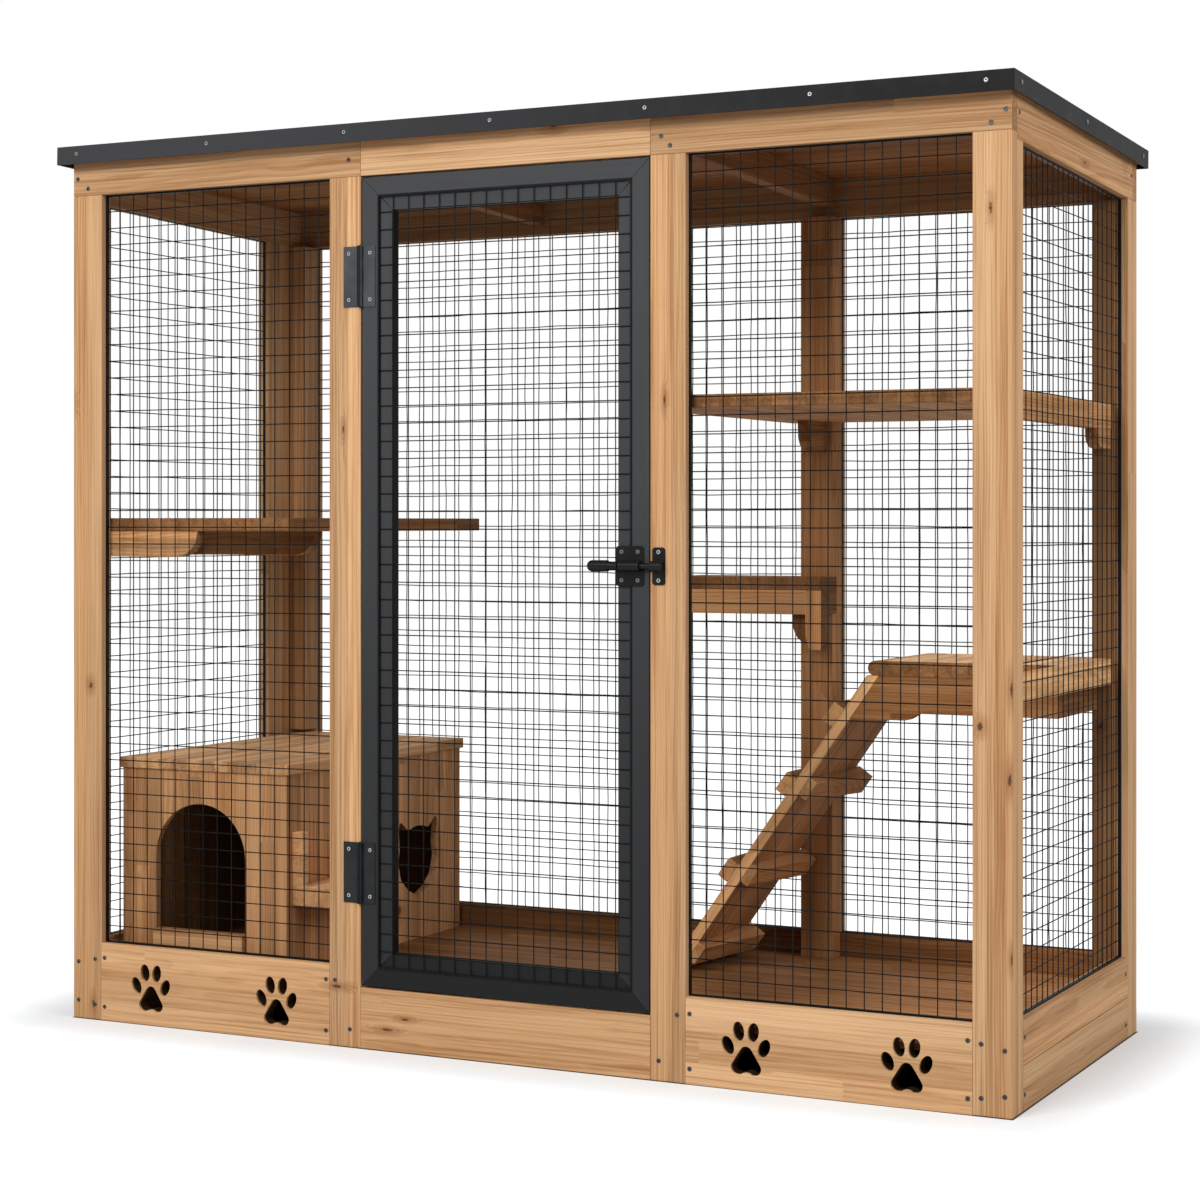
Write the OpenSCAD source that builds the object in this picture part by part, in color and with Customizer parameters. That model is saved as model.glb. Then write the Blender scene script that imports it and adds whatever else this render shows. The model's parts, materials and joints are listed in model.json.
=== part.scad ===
// Timber cat enclosure with a mono-pitch roof, wire mesh walls, one hinged door, a cat house,
// three perches and a ramp. Millimetres. The origin is on the ground under the middle of the
// frame, +X to the right along the front, +Y to the rear, +Z up.

/* [Timber frame] */
// Width of the posts, seen from the front
post_w = 71; // [60:1:85]
// Thickness of the posts, rails and skirts
timber_t = 30; // [26:1:36]
// Clear width of the left mesh bay
left_bay = 552; // [500:1:650]
// Clear width of the doorway
door_bay = 622; // [560:1:720]
// Clear width of the right mesh bay
right_bay = 542; // [500:1:650]
// Depth over the front and rear posts
frame_d = 832; // [760:1:950]
// Height of the front posts
post_h = 1692; // [1600:1:1850]
// Height of the front top rail
rail_h = 70; // [55:1:90]
// Height of the side and rear top rails
side_rail_h = 81; // [65:1:95]
// Width of the side stiles behind the corner posts
side_stile_w = 35; // [30:1:50]
// Width of the extra rear board of the left wall
left_board_w = 97; // [60:1:120]
// Centre of the rear middle post, from the middle of the frame
rear_post_x = 342; // [300:1:380]
// Depth of the inner halves of the rear posts
rear_post_d = 45; // [30:1:60]

/* [Skirts and floor] */
// Height of the front and side skirts
skirt_h = 158; // [140:1:190]
// Height of the sill under the door
sill_h = 118; // [112:1:150]
// Open joint between two boards
board_gap = 1.5; // [0.5:0.1:2]
// Height of the walking surface of the floor
floor_z = 108; // [90:1:110]
// Thickness of the floor boards
floor_t = 12; // [9:1:20]
// Number of floor boards from front to rear
floor_rows = 8; // [6:1:10]
// Width of the floor bearers
bearer_w = 30; // [20:1:50]
// Thickness of the hidden corner blocks
block_t = 24; // [18:1:28]
// How far a corner block reaches past a joint
block_reach = 30; // [25:1:34]
// Height of the corner blocks behind the skirts
block_h = 148; // [135:1:150]

/* [Paw cut-outs] */
// Distance between the two paws of one skirt
paw_spacing = 304; // [240:1:360]
// Height of the middle of the pad above the ground
paw_z = 52; // [48:1:60]
// Radius of the top lobe of the pad
pad_r = 13; // [10:0.5:15]
// Radius of the side lobes of the pad
pad_side_r = 12.5; // [8:0.5:14]
// Half width of a toe
toe_w = 11; // [7:0.5:12]
// Half height of a toe
toe_h = 17.5; // [11:0.5:18]

/* [Roof] */
// Fall of the roof from front to rear, in degrees
roof_fall = 1.36; // [0.8:0.02:3]
// Overhang past the side walls
side_overhang = 15; // [10:1:30]
// Overhang past the front and rear walls
front_overhang = 35; // [32:1:60]
// Thickness of the roof boards
deck_t = 21; // [15:1:24]
// Number of roof boards from front to rear
deck_rows = 8; // [6:1:10]
// Thickness of the roof covering
sheet_t = 3; // [2:0.5:5]
// Thickness of the edge trim
trim_t = 3; // [2:0.5:4]
// Width of the trim's upper leg
trim_leg = 25; // [15:1:40]
// How far the trim hangs below the roof boards
trim_drop = 9.5; // [5:0.5:15]
// Width of the rafters
rafter_w = 30; // [20:1:45]
// Height of the rafters
rafter_h = 60; // [45:1:70]

/* [Wire mesh] */
// Pitch of the drawn wires
net_pitch = 68; // [60:1:120]
// Pitch of the drawn wires in the wide rear panel
wide_pitch = 85; // [80:1:140]
// Thickness of a wire
wire = 2; // [1.6:0.1:2.4]
// Air between the upright and the level wires
wire_gap = 0.1; // [0.1:0.05:0.2]
// Visible width of the edge strip round a panel
edge_w = 4; // [3:0.5:6]
// Depth of the edge strip
edge_d = 6; // [5.4:0.2:8]
// Distance from the outer face of the frame to the middle of a mesh
mesh_set = 17; // [13:1:20]

/* [Door] */
// Gap between the door and the hinge post
door_gap_hinge = 4; // [3:0.5:5]
// Gap between the door and the latch post
door_gap_latch = 2; // [2:0.5:5]
// Gap above and below the door
door_gap_z = 4; // [3:0.5:6]
// Thickness of the door
door_t = 28; // [22:1:29]
// Width of the door members
door_member = 66; // [56:1:80]
// Width of the rebate that holds the door mesh
rebate_w = 31; // [24:1:40]
// Depth of the rebate
rebate_d = 5; // [4.8:0.1:7]

/* [Hinges] */
// Height of a hinge
hinge_h = 118; // [100:1:140]
// Middle of the lower hinge above the ground
hinge_low_z = 341; // [300:1:420]
// Middle of the upper hinge above the ground
hinge_high_z = 1497; // [1350:1:1500]
// Thickness of a hinge leaf
leaf_t = 2.5; // [2:0.1:3]
// Width of the leaf on the post
post_leaf_w = 39; // [32:1:44]
// Width of the leaf on the door
door_leaf_w = 32; // [28:1:33]
// Outer radius of the knuckles
knuckle_r = 5.5; // [5:0.1:6.5]
// Radius of the hinge pin
pin_r = 2.5; // [2:0.1:3]
// Radial clearance of the pin in a knuckle
pin_play = 0.05; // [0.02:0.01:0.1]
// Number of knuckles in a hinge
knuckles = 5; // [3:2:7]

/* [Barrel bolt] */
// Height of the bolt above the ground
bolt_z = 940; // [850:1:1050]
// Radius of the rod
rod_r = 5.5; // [4:0.1:6.5]
// Outer radius of the guide and the keeper loop
guide_r = 10; // [9:0.1:11]
// Clearance of the rod in its guide
rod_play = 0.1; // [0.05:0.05:0.2]
// Clearance of the rod in the keeper
keeper_play = 0.7; // [0.5:0.1:1.5]
// Length of the guide
guide_l = 42; // [30:1:46]
// Width of the base plate
plate_w = 57; // [50:1:60]
// Height of the base plate
plate_h = 74; // [66:1:90]
// Width of the keeper
keeper_w = 26; // [20:1:32]
// Height of the keeper
keeper_h = 69; // [60:1:80]
// How far the rod reaches past the edge of the latch post
rod_reach = 29; // [20:1:36]
// Travel of the bolt
bolt_travel = 36; // [34:1:40]
// Radius of the grip
grip_r = 10.8; // [9:0.1:11]
// Length of the grip
grip_l = 44; // [36:1:60]
// Distance from the guide to the grip
grip_gap = 22; // [16:1:30]
// Distance from the guide to the right edge of the base plate
guide_in = 3; // [2:1:9]

/* [Cat house] */
// Width of the house
house_w = 405; // [380:1:420]
// Distance from the rear timbers to the house
house_rear_in = 14; // [8:1:60]
// Height of the house under its lid
house_h = 403; // [380:1:500]
// Distance from the left mesh to the house
house_in_x = 44; // [40:1:50]
// Distance from the front posts to the house
house_in_y = 56; // [50:1:62]
// Thickness of the house walls
house_t = 15; // [12:1:20]
// Thickness of the lid
lid_t = 22; // [16:1:30]
// Overhang of the lid
lid_over = 6; // [4:1:10]
// Thickness of the house floor
house_floor_t = 12; // [9:1:16]
// Width of the arched doorway
arch_w = 221; // [180:1:240]
// Height of the arched doorway
arch_h = 260; // [220:1:270]
// Height of the threshold above the floor
arch_sill = 75; // [60:1:90]
// Middle of the arch, right of the middle of the house front
arch_shift = -8; // [-20:1:20]
// Height of the strip under the arch
strip_h = 48; // [35:1:56]
// Thickness of the strip
strip_t = 12; // [8:1:16]
// Width of the cat-head window
window_w = 170; // [140:1:190]
// Height of the cat-head window
window_h = 169; // [140:1:190]
// Height of the window above the floor
window_z = 96; // [80:1:140]
// Middle of the window behind the middle of the house
window_y = 167; // [120:1:200]

/* [House step] */
// Reach of the step from the house wall
step_w = 110; // [90:1:112]
// Distance of the step behind the front of the house
step_in = 20; // [0:1:40]
// Length of the step from front to rear
step_l = 220; // [160:1:300]
// Height of the underside of the step above the floor
step_z = 139; // [120:1:180]
// Thickness of the lower board
step_low_t = 39; // [30:1:60]
// Thickness of the upper block
step_high_t = 57; // [40:1:70]
// Length of the upper block
step_high_l = 80; // [60:1:120]
// Width of the corner batten
batten_w = 24; // [20:1:40]
// Height of the corner batten above the lower board
batten_h = 109; // [80:1:130]

/* [Shelves] */
// Gap between a shelf and the front and rear timbers
shelf_gap = 2; // [1:0.5:4]
// Thickness of the cleats and ledgers
cleat_t = 28; // [22:1:35]
// Height of the top of the left shelf
left_shelf_z = 1029; // [980:1:1100]
// Thickness of the left shelf
left_shelf_t = 27; // [22:1:32]
// Width of the left shelf
left_shelf_w = 480; // [440:1:540]
// Height of the arms under the left shelf
arm_h = 52; // [48:1:65]
// Length of the front arm
arm_front_l = 258; // [200:1:300]
// Length of the middle arm, from the ledger
arm_mid_l = 290; // [200:1:330]
// Middle of the middle arm behind the middle of the frame
arm_mid_y = -30; // [-80:1:80]
// Height of the top of the upper shelf
upper_shelf_z = 1254; // [1200:1:1300]
// Thickness of the upper shelf
upper_shelf_t = 24; // [20:1:30]
// Distance of the left end of the upper shelf from the middle
upper_shelf_x = 270; // [240:1:300]
// Height of the side ledgers, with the shelf
ledger_h = 50; // [38:1:55]
// Length of the corbels under the upper shelf
corbel_l = 100; // [90:1:130]
// Height of the corbels
corbel_h = 64; // [56:1:80]
// Thickness of the corbels
corbel_t = 24; // [20:1:32]
// Height of the top of the middle shelf
mid_shelf_z = 907; // [870:1:960]
// Thickness of the middle shelf
mid_shelf_t = 27; // [22:1:32]
// Left end of the middle shelf from the middle
mid_shelf_x = 60; // [40:1:120]
// How far the middle shelf reaches past the right face of the rear middle post
mid_shelf_out = 10; // [0:1:20]
// Depth of the middle shelf
mid_shelf_d = 133; // [125:1:200]
// Width of the plate in front of the corbel of the middle shelf
mid_plate_w = 36; // [30:1:44]
// Length of that plate below the apron
mid_plate_h = 73; // [60:1:80]
// Thickness of that plate
mid_plate_t = 24; // [16:1:28]
// Height of the corbel behind that plate
mid_corbel_h = 62; // [50:1:72]
// Height of the apron of the middle shelf
mid_apron_h = 50; // [40:1:60]
// Thickness of the aprons
apron_t = 25; // [20:1:30]

/* [Landing and ramp] */
// Height of the top of the landing
landing_z = 750; // [720:1:770]
// Thickness of the landing
landing_t = 29; // [24:1:34]
// Left end of the landing from the middle
landing_x = 561; // [535:1:590]
// Front edge of the landing behind the middle
landing_y = 60; // [40:1:120]
// Distance of the rear rail and of the scroll from the rounded end of the landing
apron_in = 44; // [40:1:60]
// Height of the landing apron
landing_apron_h = 72; // [60:1:85]
// Extra depth of the apron's scroll end
scroll_drop = 14; // [10:1:24]
// Length of the curve at the end of the scroll
scroll_run = 36; // [24:1:48]
// Length of the scroll end
scroll_l = 66; // [55:1:90]
// Foot of the ramp from the middle
ramp_foot_x = 127; // [105:1:170]
// Thickness of the ramp
ramp_t = 21; // [16:1:26]
// Width of the ramp
ramp_w = 262; // [180:1:265]
// How far the treads reach past the rear edge of the ramp
tread_over = 18; // [0:1:40]
// Width of a tread along the ramp
tread_w = 43; // [34:1:50]
// Thickness of a tread
tread_t = 25; // [16:1:26]
// Thickness of a cleat under the ramp at its front end
cleat_front_t = 18; // [12:1:30]
// Thickness of a cleat under the ramp at its rear end
cleat_rear_t = 36; // [20:1:38]
// Height of the first tread above the floor
tread_1_z = 42; // [40:1:60]
// Height of the second tread above the floor
tread_2_z = 207; // [150:1:250]
// Height of the third tread above the floor
tread_3_z = 385; // [330:1:420]
// Height of the fourth tread above the floor
tread_4_z = 527; // [490:1:540]

/* [Screws] */
// Radius of a screw head
head_r = 4.4; // [3:0.1:4.8]
// Height of a screw head
head_h = 1.4; // [1:0.1:2]
// Radius of a screw shank
shank_r = 1.5; // [1.2:0.1:1.8]
// Length of the frame screws
frame_screw_l = 45; // [40:1:48]
// Length of the hinge and bolt screws
small_screw_l = 16; // [12:1:20]
// Clearance of a screw in its hole
screw_play = 0.15; // [0.1:0.05:0.3]
// Number of screws along the front trim
trim_screws = 7; // [5:1:9]
// Distance of the end screws of the side trims from the corners of the roof
trim_screw_in = 42; // [30:1:60]
// Distance of the end screws from a skirt's ends
skirt_screw_in = 8; // [7:1:12]
// Height of the lower screws of a skirt
screw_low_z = 28; // [24:1:34]
// Height of the upper screws of a skirt
screw_high_z = 128; // [120:1:134]

/* [Hidden] */
$fn = 48;
cut = 1;
frame_w = 4 * post_w + left_bay + door_bay + right_bay;
half_w = frame_w / 2;
half_d = frame_d / 2;
in_front = -half_d + timber_t;
in_rear = half_d - timber_t;
in_side = half_w - timber_t;
left_x0 = -half_w + post_w;
left_x1 = left_x0 + left_bay;
door_x0 = left_x1 + post_w;
door_x1 = door_x0 + door_bay;
right_x0 = door_x1 + post_w;
right_x1 = right_x0 + right_bay;
rail_top = post_h + rail_h;
rear_h = roof_z(half_d) - side_rail_h;
side_y = -in_front - side_stile_w;
back_post_x0 = rear_post_x - post_w / 2;
back_post_x1 = rear_post_x + post_w / 2;
back_post_y = in_rear - rear_post_d;
lid_clear = 6;
rear_block_y = min(side_y, back_post_y) - block_reach / 3;
// Level underside of the roof boards at a distance behind the middle
function roof_z(y) = rail_top - (y + half_d) * tan(roof_fall);

leaf_x0 = door_x0 + door_gap_hinge;
leaf_x1 = door_x1 - door_gap_latch;
leaf_z0 = sill_h + door_gap_z;
leaf_z1 = post_h - door_gap_z;
leaf_w = leaf_x1 - leaf_x0;
rim = door_member - rebate_w;
hinge_x = (door_x0 + leaf_x0) / 2;
hinge_y = -half_d - knuckle_r - 0.5;
knuckle_l = hinge_h / knuckles;
knuckle_gap = 0.3;
knuckle_side = knuckle_r + 0.3;
pin_head_r = pin_r + 1;
pin_head_t = 1.5;
hinge_screw_z = 45;
post_screw_x = hinge_x - 26.5;
door_screw_x = hinge_x + 21.5;

plate_x1 = leaf_x1 - 10;
plate_x0 = plate_x1 - plate_w;
guide_x1 = plate_x1 - guide_in;
guide_x0 = guide_x1 - guide_l;
rod_y = -half_d - leaf_t - guide_r + 1;
rod_x1 = door_x1 + rod_reach;
grip_x1 = guide_x0 - grip_gap;
keeper_x0 = door_x1 + 5;
keeper_screw_x = keeper_x0 + keeper_w / 2;
plate_screw_x = [plate_x0 + 12, plate_x1 - 12];
latch_screw_z = 26;

net_x = half_w - mesh_set;
shelf_x = in_side;
house_x0 = -net_x + house_in_x;
house_x1 = house_x0 + house_w;
house_y0 = in_front + house_in_y;
house_y1 = in_rear - house_rear_in;
house_top = floor_z + house_h;
arch_x = (house_x0 + house_x1) / 2 + arch_shift;
window_mid = (house_y0 + house_y1) / 2 + window_y;

left_under = left_shelf_z - left_shelf_t;
ledger_x = shelf_x - cleat_t;
upper_under = upper_shelf_z - upper_shelf_t;
mid_under = mid_shelf_z - mid_shelf_t;
mid_shelf_x1 = back_post_x1 + mid_shelf_out;
mid_shelf_y0 = in_rear - mid_shelf_d;
landing_under = landing_z - landing_t;
landing_y1 = in_rear;
apron_x0 = landing_x + apron_in;
ramp_top_x = landing_x - 3;
ramp_rise = landing_under - floor_z;
ramp_slope = atan(ramp_rise / (ramp_top_x - ramp_foot_x));
ramp_cut = ramp_t / sin(ramp_slope);
ramp_y1 = min(landing_y + ramp_w, back_post_y - 12);
tread_y1 = min(ramp_y1 + tread_over, back_post_y - 1);
ramp_air = 0.3;

timber = "#c79a68";
shade_timber = "#9c7148";
charcoal = "#2f3133";
black = "#1d1e20";
wire_tone = "#26282a";

// A block from its lowest to its highest corner
module block(a, b) {
    translate(a) cube([b[0] - a[0], b[1] - a[1], b[2] - a[2]]);
}

// A board that runs along X with a profile drawn in Y and Z
module along_x(x0, x1, points) {
    translate([x0, 0, 0]) rotate([90, 0, 90]) linear_extrude(x1 - x0) polygon(points);
}

// A board that runs along Y with a profile drawn in X and Z
module along_y(y0, y1, points) {
    translate([0, y1, 0]) rotate([90, 0, 0]) linear_extrude(y1 - y0) polygon(points);
}

module both_sides() {
    children();
    mirror([1, 0, 0]) children();
}

// Screw with its head seat at the origin, head towards +Z. Screws and their holes have few
// sides, because there are many of them.
module screw(l) {
    cylinder(h = head_h, r1 = head_r, r2 = head_r * 0.6, $fn = 12);
    translate([0, 0, -l]) cylinder(h = l, r = shank_r, $fn = 8);
}

module pilot(l) {
    translate([0, 0, -l - cut]) cylinder(h = l + 2 * cut, r = shank_r + screw_play, $fn = 8);
}

// Places for front, side and roof screws, as lists of points on the outer face
function skirt_points(x0, x1) = [for (x = [x0 + skirt_screw_in, x1 - skirt_screw_in])
    for (z = [screw_low_z, screw_high_z]) [x, -half_d, z]];
corner_points = [for (s = [-1, 1]) for (p = [[13, 37], [13, 116], [55, 31], [55, 124]])
    [s * (half_w - p[0]), -half_d, p[1]]];
mid_points = [[left_x1 + 13, -half_d, 128], [door_x0 - 24, -half_d, 35],
    [door_x1 + 17, -half_d, 37], [right_x0 - 17, -half_d, 124]];
rail_points = [for (s = [-1, 1]) for (p = [[11, 35], [37, 14]])
    [s * (half_w - p[0]), -half_d, post_h + p[1]]];
seam_points = [[door_x0 - 27, -half_d, post_h + 33], [door_x1 + 22, -half_d, post_h + 33],
    [door_x1 + 40, -half_d, post_h + 15]];
side_points = [for (z = [screw_low_z, screw_high_z]) for (y = [-side_y + skirt_screw_in, rear_block_y])
    [half_w, y, z]];
side_top_points = [for (y = [in_front + 12, in_rear - 12]) [half_w, y, roof_z(y) - 34]];

module at_front(points) {
    for (p = points) translate(p) rotate([90, 0, 0]) children();
}

module at_rear(points) {
    for (p = points) translate(p) rotate([-90, 0, 0]) children();
}

module at_right(points) {
    for (p = points) translate(p) rotate([0, 90, 0]) children();
}

// Outline of a bracket from its seat at 0 to its length: flat top, rounded lower free end
function bracket_shape(l, h, rx, ry) = concat([[0, -h], [0, 0], [l, 0]],
    [for (a = [0:9:90]) [l - 2 - rx + rx * cos(a), -h + ry - ry * sin(a)]]);

module bracket(l, h, t, rx, ry) {
    translate([0, t / 2, 0]) rotate([90, 0, 0]) linear_extrude(t)
        polygon(bracket_shape(l, h, rx, ry));
}

function ellipse(rx, ry, n) = [for (i = [0:n - 1]) [rx * cos(360 * i / n), ry * sin(360 * i / n)]];

module paw() {
    difference() {
        hull() {
            translate([0, pad_r + 1]) circle(pad_r, $fn = 24);
            for (s = [-1, 1]) translate([s * pad_r * 1.31, -pad_r * 0.91]) circle(pad_side_r, $fn = 24);
        }
        translate([0, -pad_r * 2.86]) circle(pad_r * 1.3, $fn = 24);
    }
    for (s = [-1, 1]) {
        translate([s * toe_w * 1.3, toe_h * 3.04]) rotate(-s * 8) polygon(ellipse(toe_w, toe_h, 16));
        translate([s * toe_w * 3.2, toe_h * 1.5]) rotate(-s * 24) polygon(ellipse(toe_w, toe_h, 16));
    }
}

module front_corner_posts() {
    color(timber) difference() {
        both_sides() block([right_x1, -half_d, 0], [half_w, in_front, post_h]);
        at_front(corner_points) pilot(frame_screw_l);
    }
}

module hinge_post() {
    color(timber) difference() {
        block([left_x1, -half_d, 0], [door_x0, in_front, post_h]);
        at_front(mid_points) pilot(frame_screw_l);
        at_front(post_leaf_screws) pilot(small_screw_l);
    }
}

module latch_post() {
    color(timber) difference() {
        block([door_x1, -half_d, 0], [right_x0, in_front, post_h]);
        at_front(mid_points) pilot(frame_screw_l);
        at_front(keeper_screws) pilot(small_screw_l);
    }
}

// Front top rail with its upper edge cut to the fall of the roof
module front_rail(x0, x1) {
    color(timber) difference() {
        along_x(x0, x1, [[-half_d, post_h], [in_front, post_h],
            [in_front, roof_z(in_front)], [-half_d, rail_top]]);
        at_front(concat(rail_points, seam_points)) pilot(timber_t - 2 * cut);
    }
}

module front_rail_left() {
    front_rail(-half_w, door_x0);
}

module front_header() {
    front_rail(door_x0, door_x1);
}

module front_rail_right() {
    front_rail(door_x1, half_w);
}

module front_skirt(x0, x1) {
    mid = (x0 + x1) / 2;
    color(timber) difference() {
        block([x0, -half_d, 0], [x1, in_front, skirt_h]);
        for (s = [-1, 1]) translate([mid + s * paw_spacing / 2, in_front + cut, paw_z])
            rotate([90, 0, 0]) linear_extrude(timber_t + 2 * cut) paw();
        at_front(skirt_points(x0, x1)) pilot(frame_screw_l);
    }
}

module front_skirt_left() {
    front_skirt(left_x0, left_x1);
}

module front_skirt_right() {
    front_skirt(right_x0, right_x1);
}

module door_sill() {
    color(timber) block([door_x0, -half_d, 0], [door_x1, in_front, sill_h]);
}

// The inner half of the left post stands over the house
module rear_corner_posts() {
    color(timber) {
        both_sides() block([right_x1, in_rear, 0], [half_w, half_d, rear_h]);
        block([right_x1, back_post_y, floor_z], [in_side, in_rear, rear_h]);
        block([-in_side, back_post_y, house_top + lid_t + lid_clear], [left_x0, in_rear, rear_h]);
    }
}

// Room for the inner halves of the rear posts, taken out of the shelves
module rear_notches(z0, z1) {
    both_sides() block([right_x1, back_post_y, z0 - cut], [half_w, half_d, z1 + cut]);
    block([back_post_x0, back_post_y, z0 - cut], [back_post_x1, half_d, z1 + cut]);
}

module rear_middle_post() {
    color(timber) {
        block([back_post_x0, in_rear, 0], [back_post_x1, half_d, rear_h]);
        block([back_post_x0, back_post_y, floor_z], [back_post_x1, in_rear, rear_h]);
    }
}

module rear_rail() {
    color(timber) along_x(-half_w, half_w, [[in_rear, rear_h], [half_d, rear_h],
        [half_d, roof_z(half_d)], [in_rear, roof_z(in_rear)]]);
}

// A stile or rail of the side wall between two distances, below the roof
module side_member(y0, y1, z0, z1, drop) {
    rotate([90, 0, 90]) translate([0, 0, in_side]) linear_extrude(timber_t)
        polygon([[y0, z0], [y1, z1], [y1, roof_z(y1) - drop], [y0, roof_z(y0) - drop]]);
}

module side_stiles() {
    color(timber) {
        difference() {
            both_sides() {
                side_member(in_front, -side_y, 0, 0, side_rail_h);
                side_member(side_y, in_rear, 0, 0, side_rail_h);
            }
            at_front(corner_points) pilot(frame_screw_l);
        }
        mirror([1, 0, 0]) side_member(side_y - left_board_w, side_y - board_gap, skirt_h, skirt_h,
            side_rail_h);
    }
}

module side_rails() {
    color(timber) difference() {
        both_sides() side_member(in_front, in_rear, roof_z(in_front) - side_rail_h,
            roof_z(in_rear) - side_rail_h, 0);
        both_sides() at_right(side_top_points) pilot(timber_t - 2 * cut);
    }
}

module side_skirts() {
    board_h = (skirt_h - board_gap) / 2;
    color(timber) difference() {
        both_sides() for (z = [0, board_h + board_gap])
            block([in_side, -side_y, z], [half_w, side_y, z + board_h]);
        both_sides() at_right(side_points) pilot(frame_screw_l);
    }
}

module rear_skirts() {
    board_h = (skirt_h - board_gap) / 2;
    color(timber) for (z = [0, board_h + board_gap]) {
        block([left_x0, in_rear, z], [back_post_x0, half_d, z + board_h]);
        block([back_post_x1, in_rear, z], [right_x1, half_d, z + board_h]);
    }
}

// Hidden blocks behind the joints of the skirts, grown by a clearance where the floor is cut
module block_shapes(grow) {
    low_h = floor_z - floor_t - 2;
    for (x = [left_x0, left_x1, right_x0, right_x1])
        block([x - block_reach - grow, in_front, -grow],
            [x + block_reach + grow, in_front + block_t + grow, block_h + grow]);
    for (x = [door_x0, door_x1])
        block([x - block_reach / 2 - grow, in_front, 0],
            [x + block_reach / 2 + grow, in_front + block_t + grow, low_h]);
    both_sides() for (y = [-side_y, rear_block_y])
        block([in_side - block_t - grow, y - block_reach / 3 - grow, -grow],
            [in_side, y + block_reach / 3 + grow, block_h + grow]);
    both_sides() block([right_x1 - block_reach, in_rear - block_t, 0],
        [right_x1 + block_reach, in_rear, low_h]);
    block([back_post_x0 - block_reach, in_rear - block_t, 0],
        [back_post_x1 + block_reach, in_rear, low_h]);
}

module corner_blocks() {
    color(shade_timber) difference() {
        block_shapes(0);
        at_front(corner_points) pilot(frame_screw_l);
        at_front(mid_points) pilot(frame_screw_l);
        at_front(skirt_points(left_x0, left_x1)) pilot(frame_screw_l);
        at_front(skirt_points(right_x0, right_x1)) pilot(frame_screw_l);
        both_sides() at_right(side_points) pilot(frame_screw_l);
    }
}

bearer_x = [left_x0 + 2 * block_reach, (left_x0 + left_x1) / 2, 0,
    (right_x0 + right_x1) / 2, right_x1 - 2 * block_reach];

module floor_bearers() {
    color(shade_timber) for (x = bearer_x)
        block([x - bearer_w / 2, in_front, 0], [x + bearer_w / 2, in_rear, floor_z - floor_t]);
}

module floor_boards() {
    row = (in_rear - in_front + board_gap) / floor_rows;
    color(shade_timber) difference() {
        for (i = [0:floor_rows - 1])
            block([-in_side, in_front + i * row, floor_z - floor_t],
                [in_side, in_front + (i + 1) * row - board_gap, floor_z]);
        block_shapes(0.5);
    }
}

module rafters() {
    color(timber) for (x = [(left_x1 + door_x0) / 2, (door_x1 + right_x0) / 2])
        along_x(x - rafter_w / 2, x + rafter_w / 2,
            [[in_front, roof_z(in_front) - rafter_h], [in_rear, roof_z(in_rear) - rafter_h],
                [in_rear, roof_z(in_rear)], [in_front, roof_z(in_front)]]);
}

// The roof is drawn level and then tilted about the upper edge of the front rail. Its middle
// is moved a little along the slope, so that it stands equally far out at the front and rear.
roof_x = half_w + side_overhang;
roof_shift = deck_t / 2 * tan(roof_fall);
roof_y0 = -front_overhang / cos(roof_fall) - roof_shift;
roof_y1 = (frame_d + front_overhang) / cos(roof_fall) - roof_shift;
roof_top = deck_t + sheet_t + trim_t;
roof_air = 0.05;

// Sloping frame of the roof: its level zero is the underside of the boards
module on_roof() {
    translate([0, -half_d, rail_top + roof_air]) rotate([-roof_fall, 0, 0]) children();
}

trim_screw_step = (2 * roof_x - 4 * trim_leg) / (trim_screws - 1);
trim_front_points = [for (i = [0:trim_screws - 1])
    [-roof_x + 2 * trim_leg + i * trim_screw_step, roof_y0, deck_t / 2]];
side_screw_step = (roof_y1 - roof_y0) / 2 - trim_screw_in;
trim_rear_points = [for (p = trim_front_points) [p[0], roof_y1, p[2]]];
trim_side_points = [for (i = [0:2]) [roof_x, roof_y0 + trim_screw_in + i * side_screw_step, deck_t / 2]];
trim_screw_l = 20;

module roof_boards() {
    x = roof_x - trim_t;
    y0 = roof_y0 + trim_t;
    row = (roof_y1 - trim_t - y0 + board_gap) / deck_rows;
    color(shade_timber) on_roof() difference() {
        for (i = [0:deck_rows - 1])
            block([-x, y0 + i * row, 0], [x, y0 + (i + 1) * row - board_gap, deck_t]);
        at_front(trim_front_points) pilot(trim_screw_l);
        at_rear(trim_rear_points) pilot(trim_screw_l);
        both_sides() at_right(trim_side_points) pilot(trim_screw_l);
    }
}

module roof_covering() {
    x = roof_x - trim_t;
    color(charcoal) on_roof()
        block([-x, roof_y0 + trim_t, deck_t], [x, roof_y1 - trim_t, deck_t + sheet_t]);
}

module roof_trim_long() {
    top = roof_top;
    z1 = top - trim_t;
    color(charcoal) on_roof() difference() {
        union() {
            along_x(-roof_x, roof_x, [[roof_y0, -trim_drop], [roof_y0 + trim_t, -trim_drop],
                [roof_y0 + trim_t, z1], [roof_y0 + trim_leg, z1],
                [roof_y0 + trim_leg, top], [roof_y0, top]]);
            along_x(-roof_x, roof_x, [[roof_y1, -trim_drop], [roof_y1 - trim_t, -trim_drop],
                [roof_y1 - trim_t, z1], [roof_y1 - trim_leg, z1],
                [roof_y1 - trim_leg, top], [roof_y1, top]]);
        }
        at_front(trim_front_points) pilot(trim_screw_l);
        at_rear(trim_rear_points) pilot(trim_screw_l);
    }
}

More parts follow.
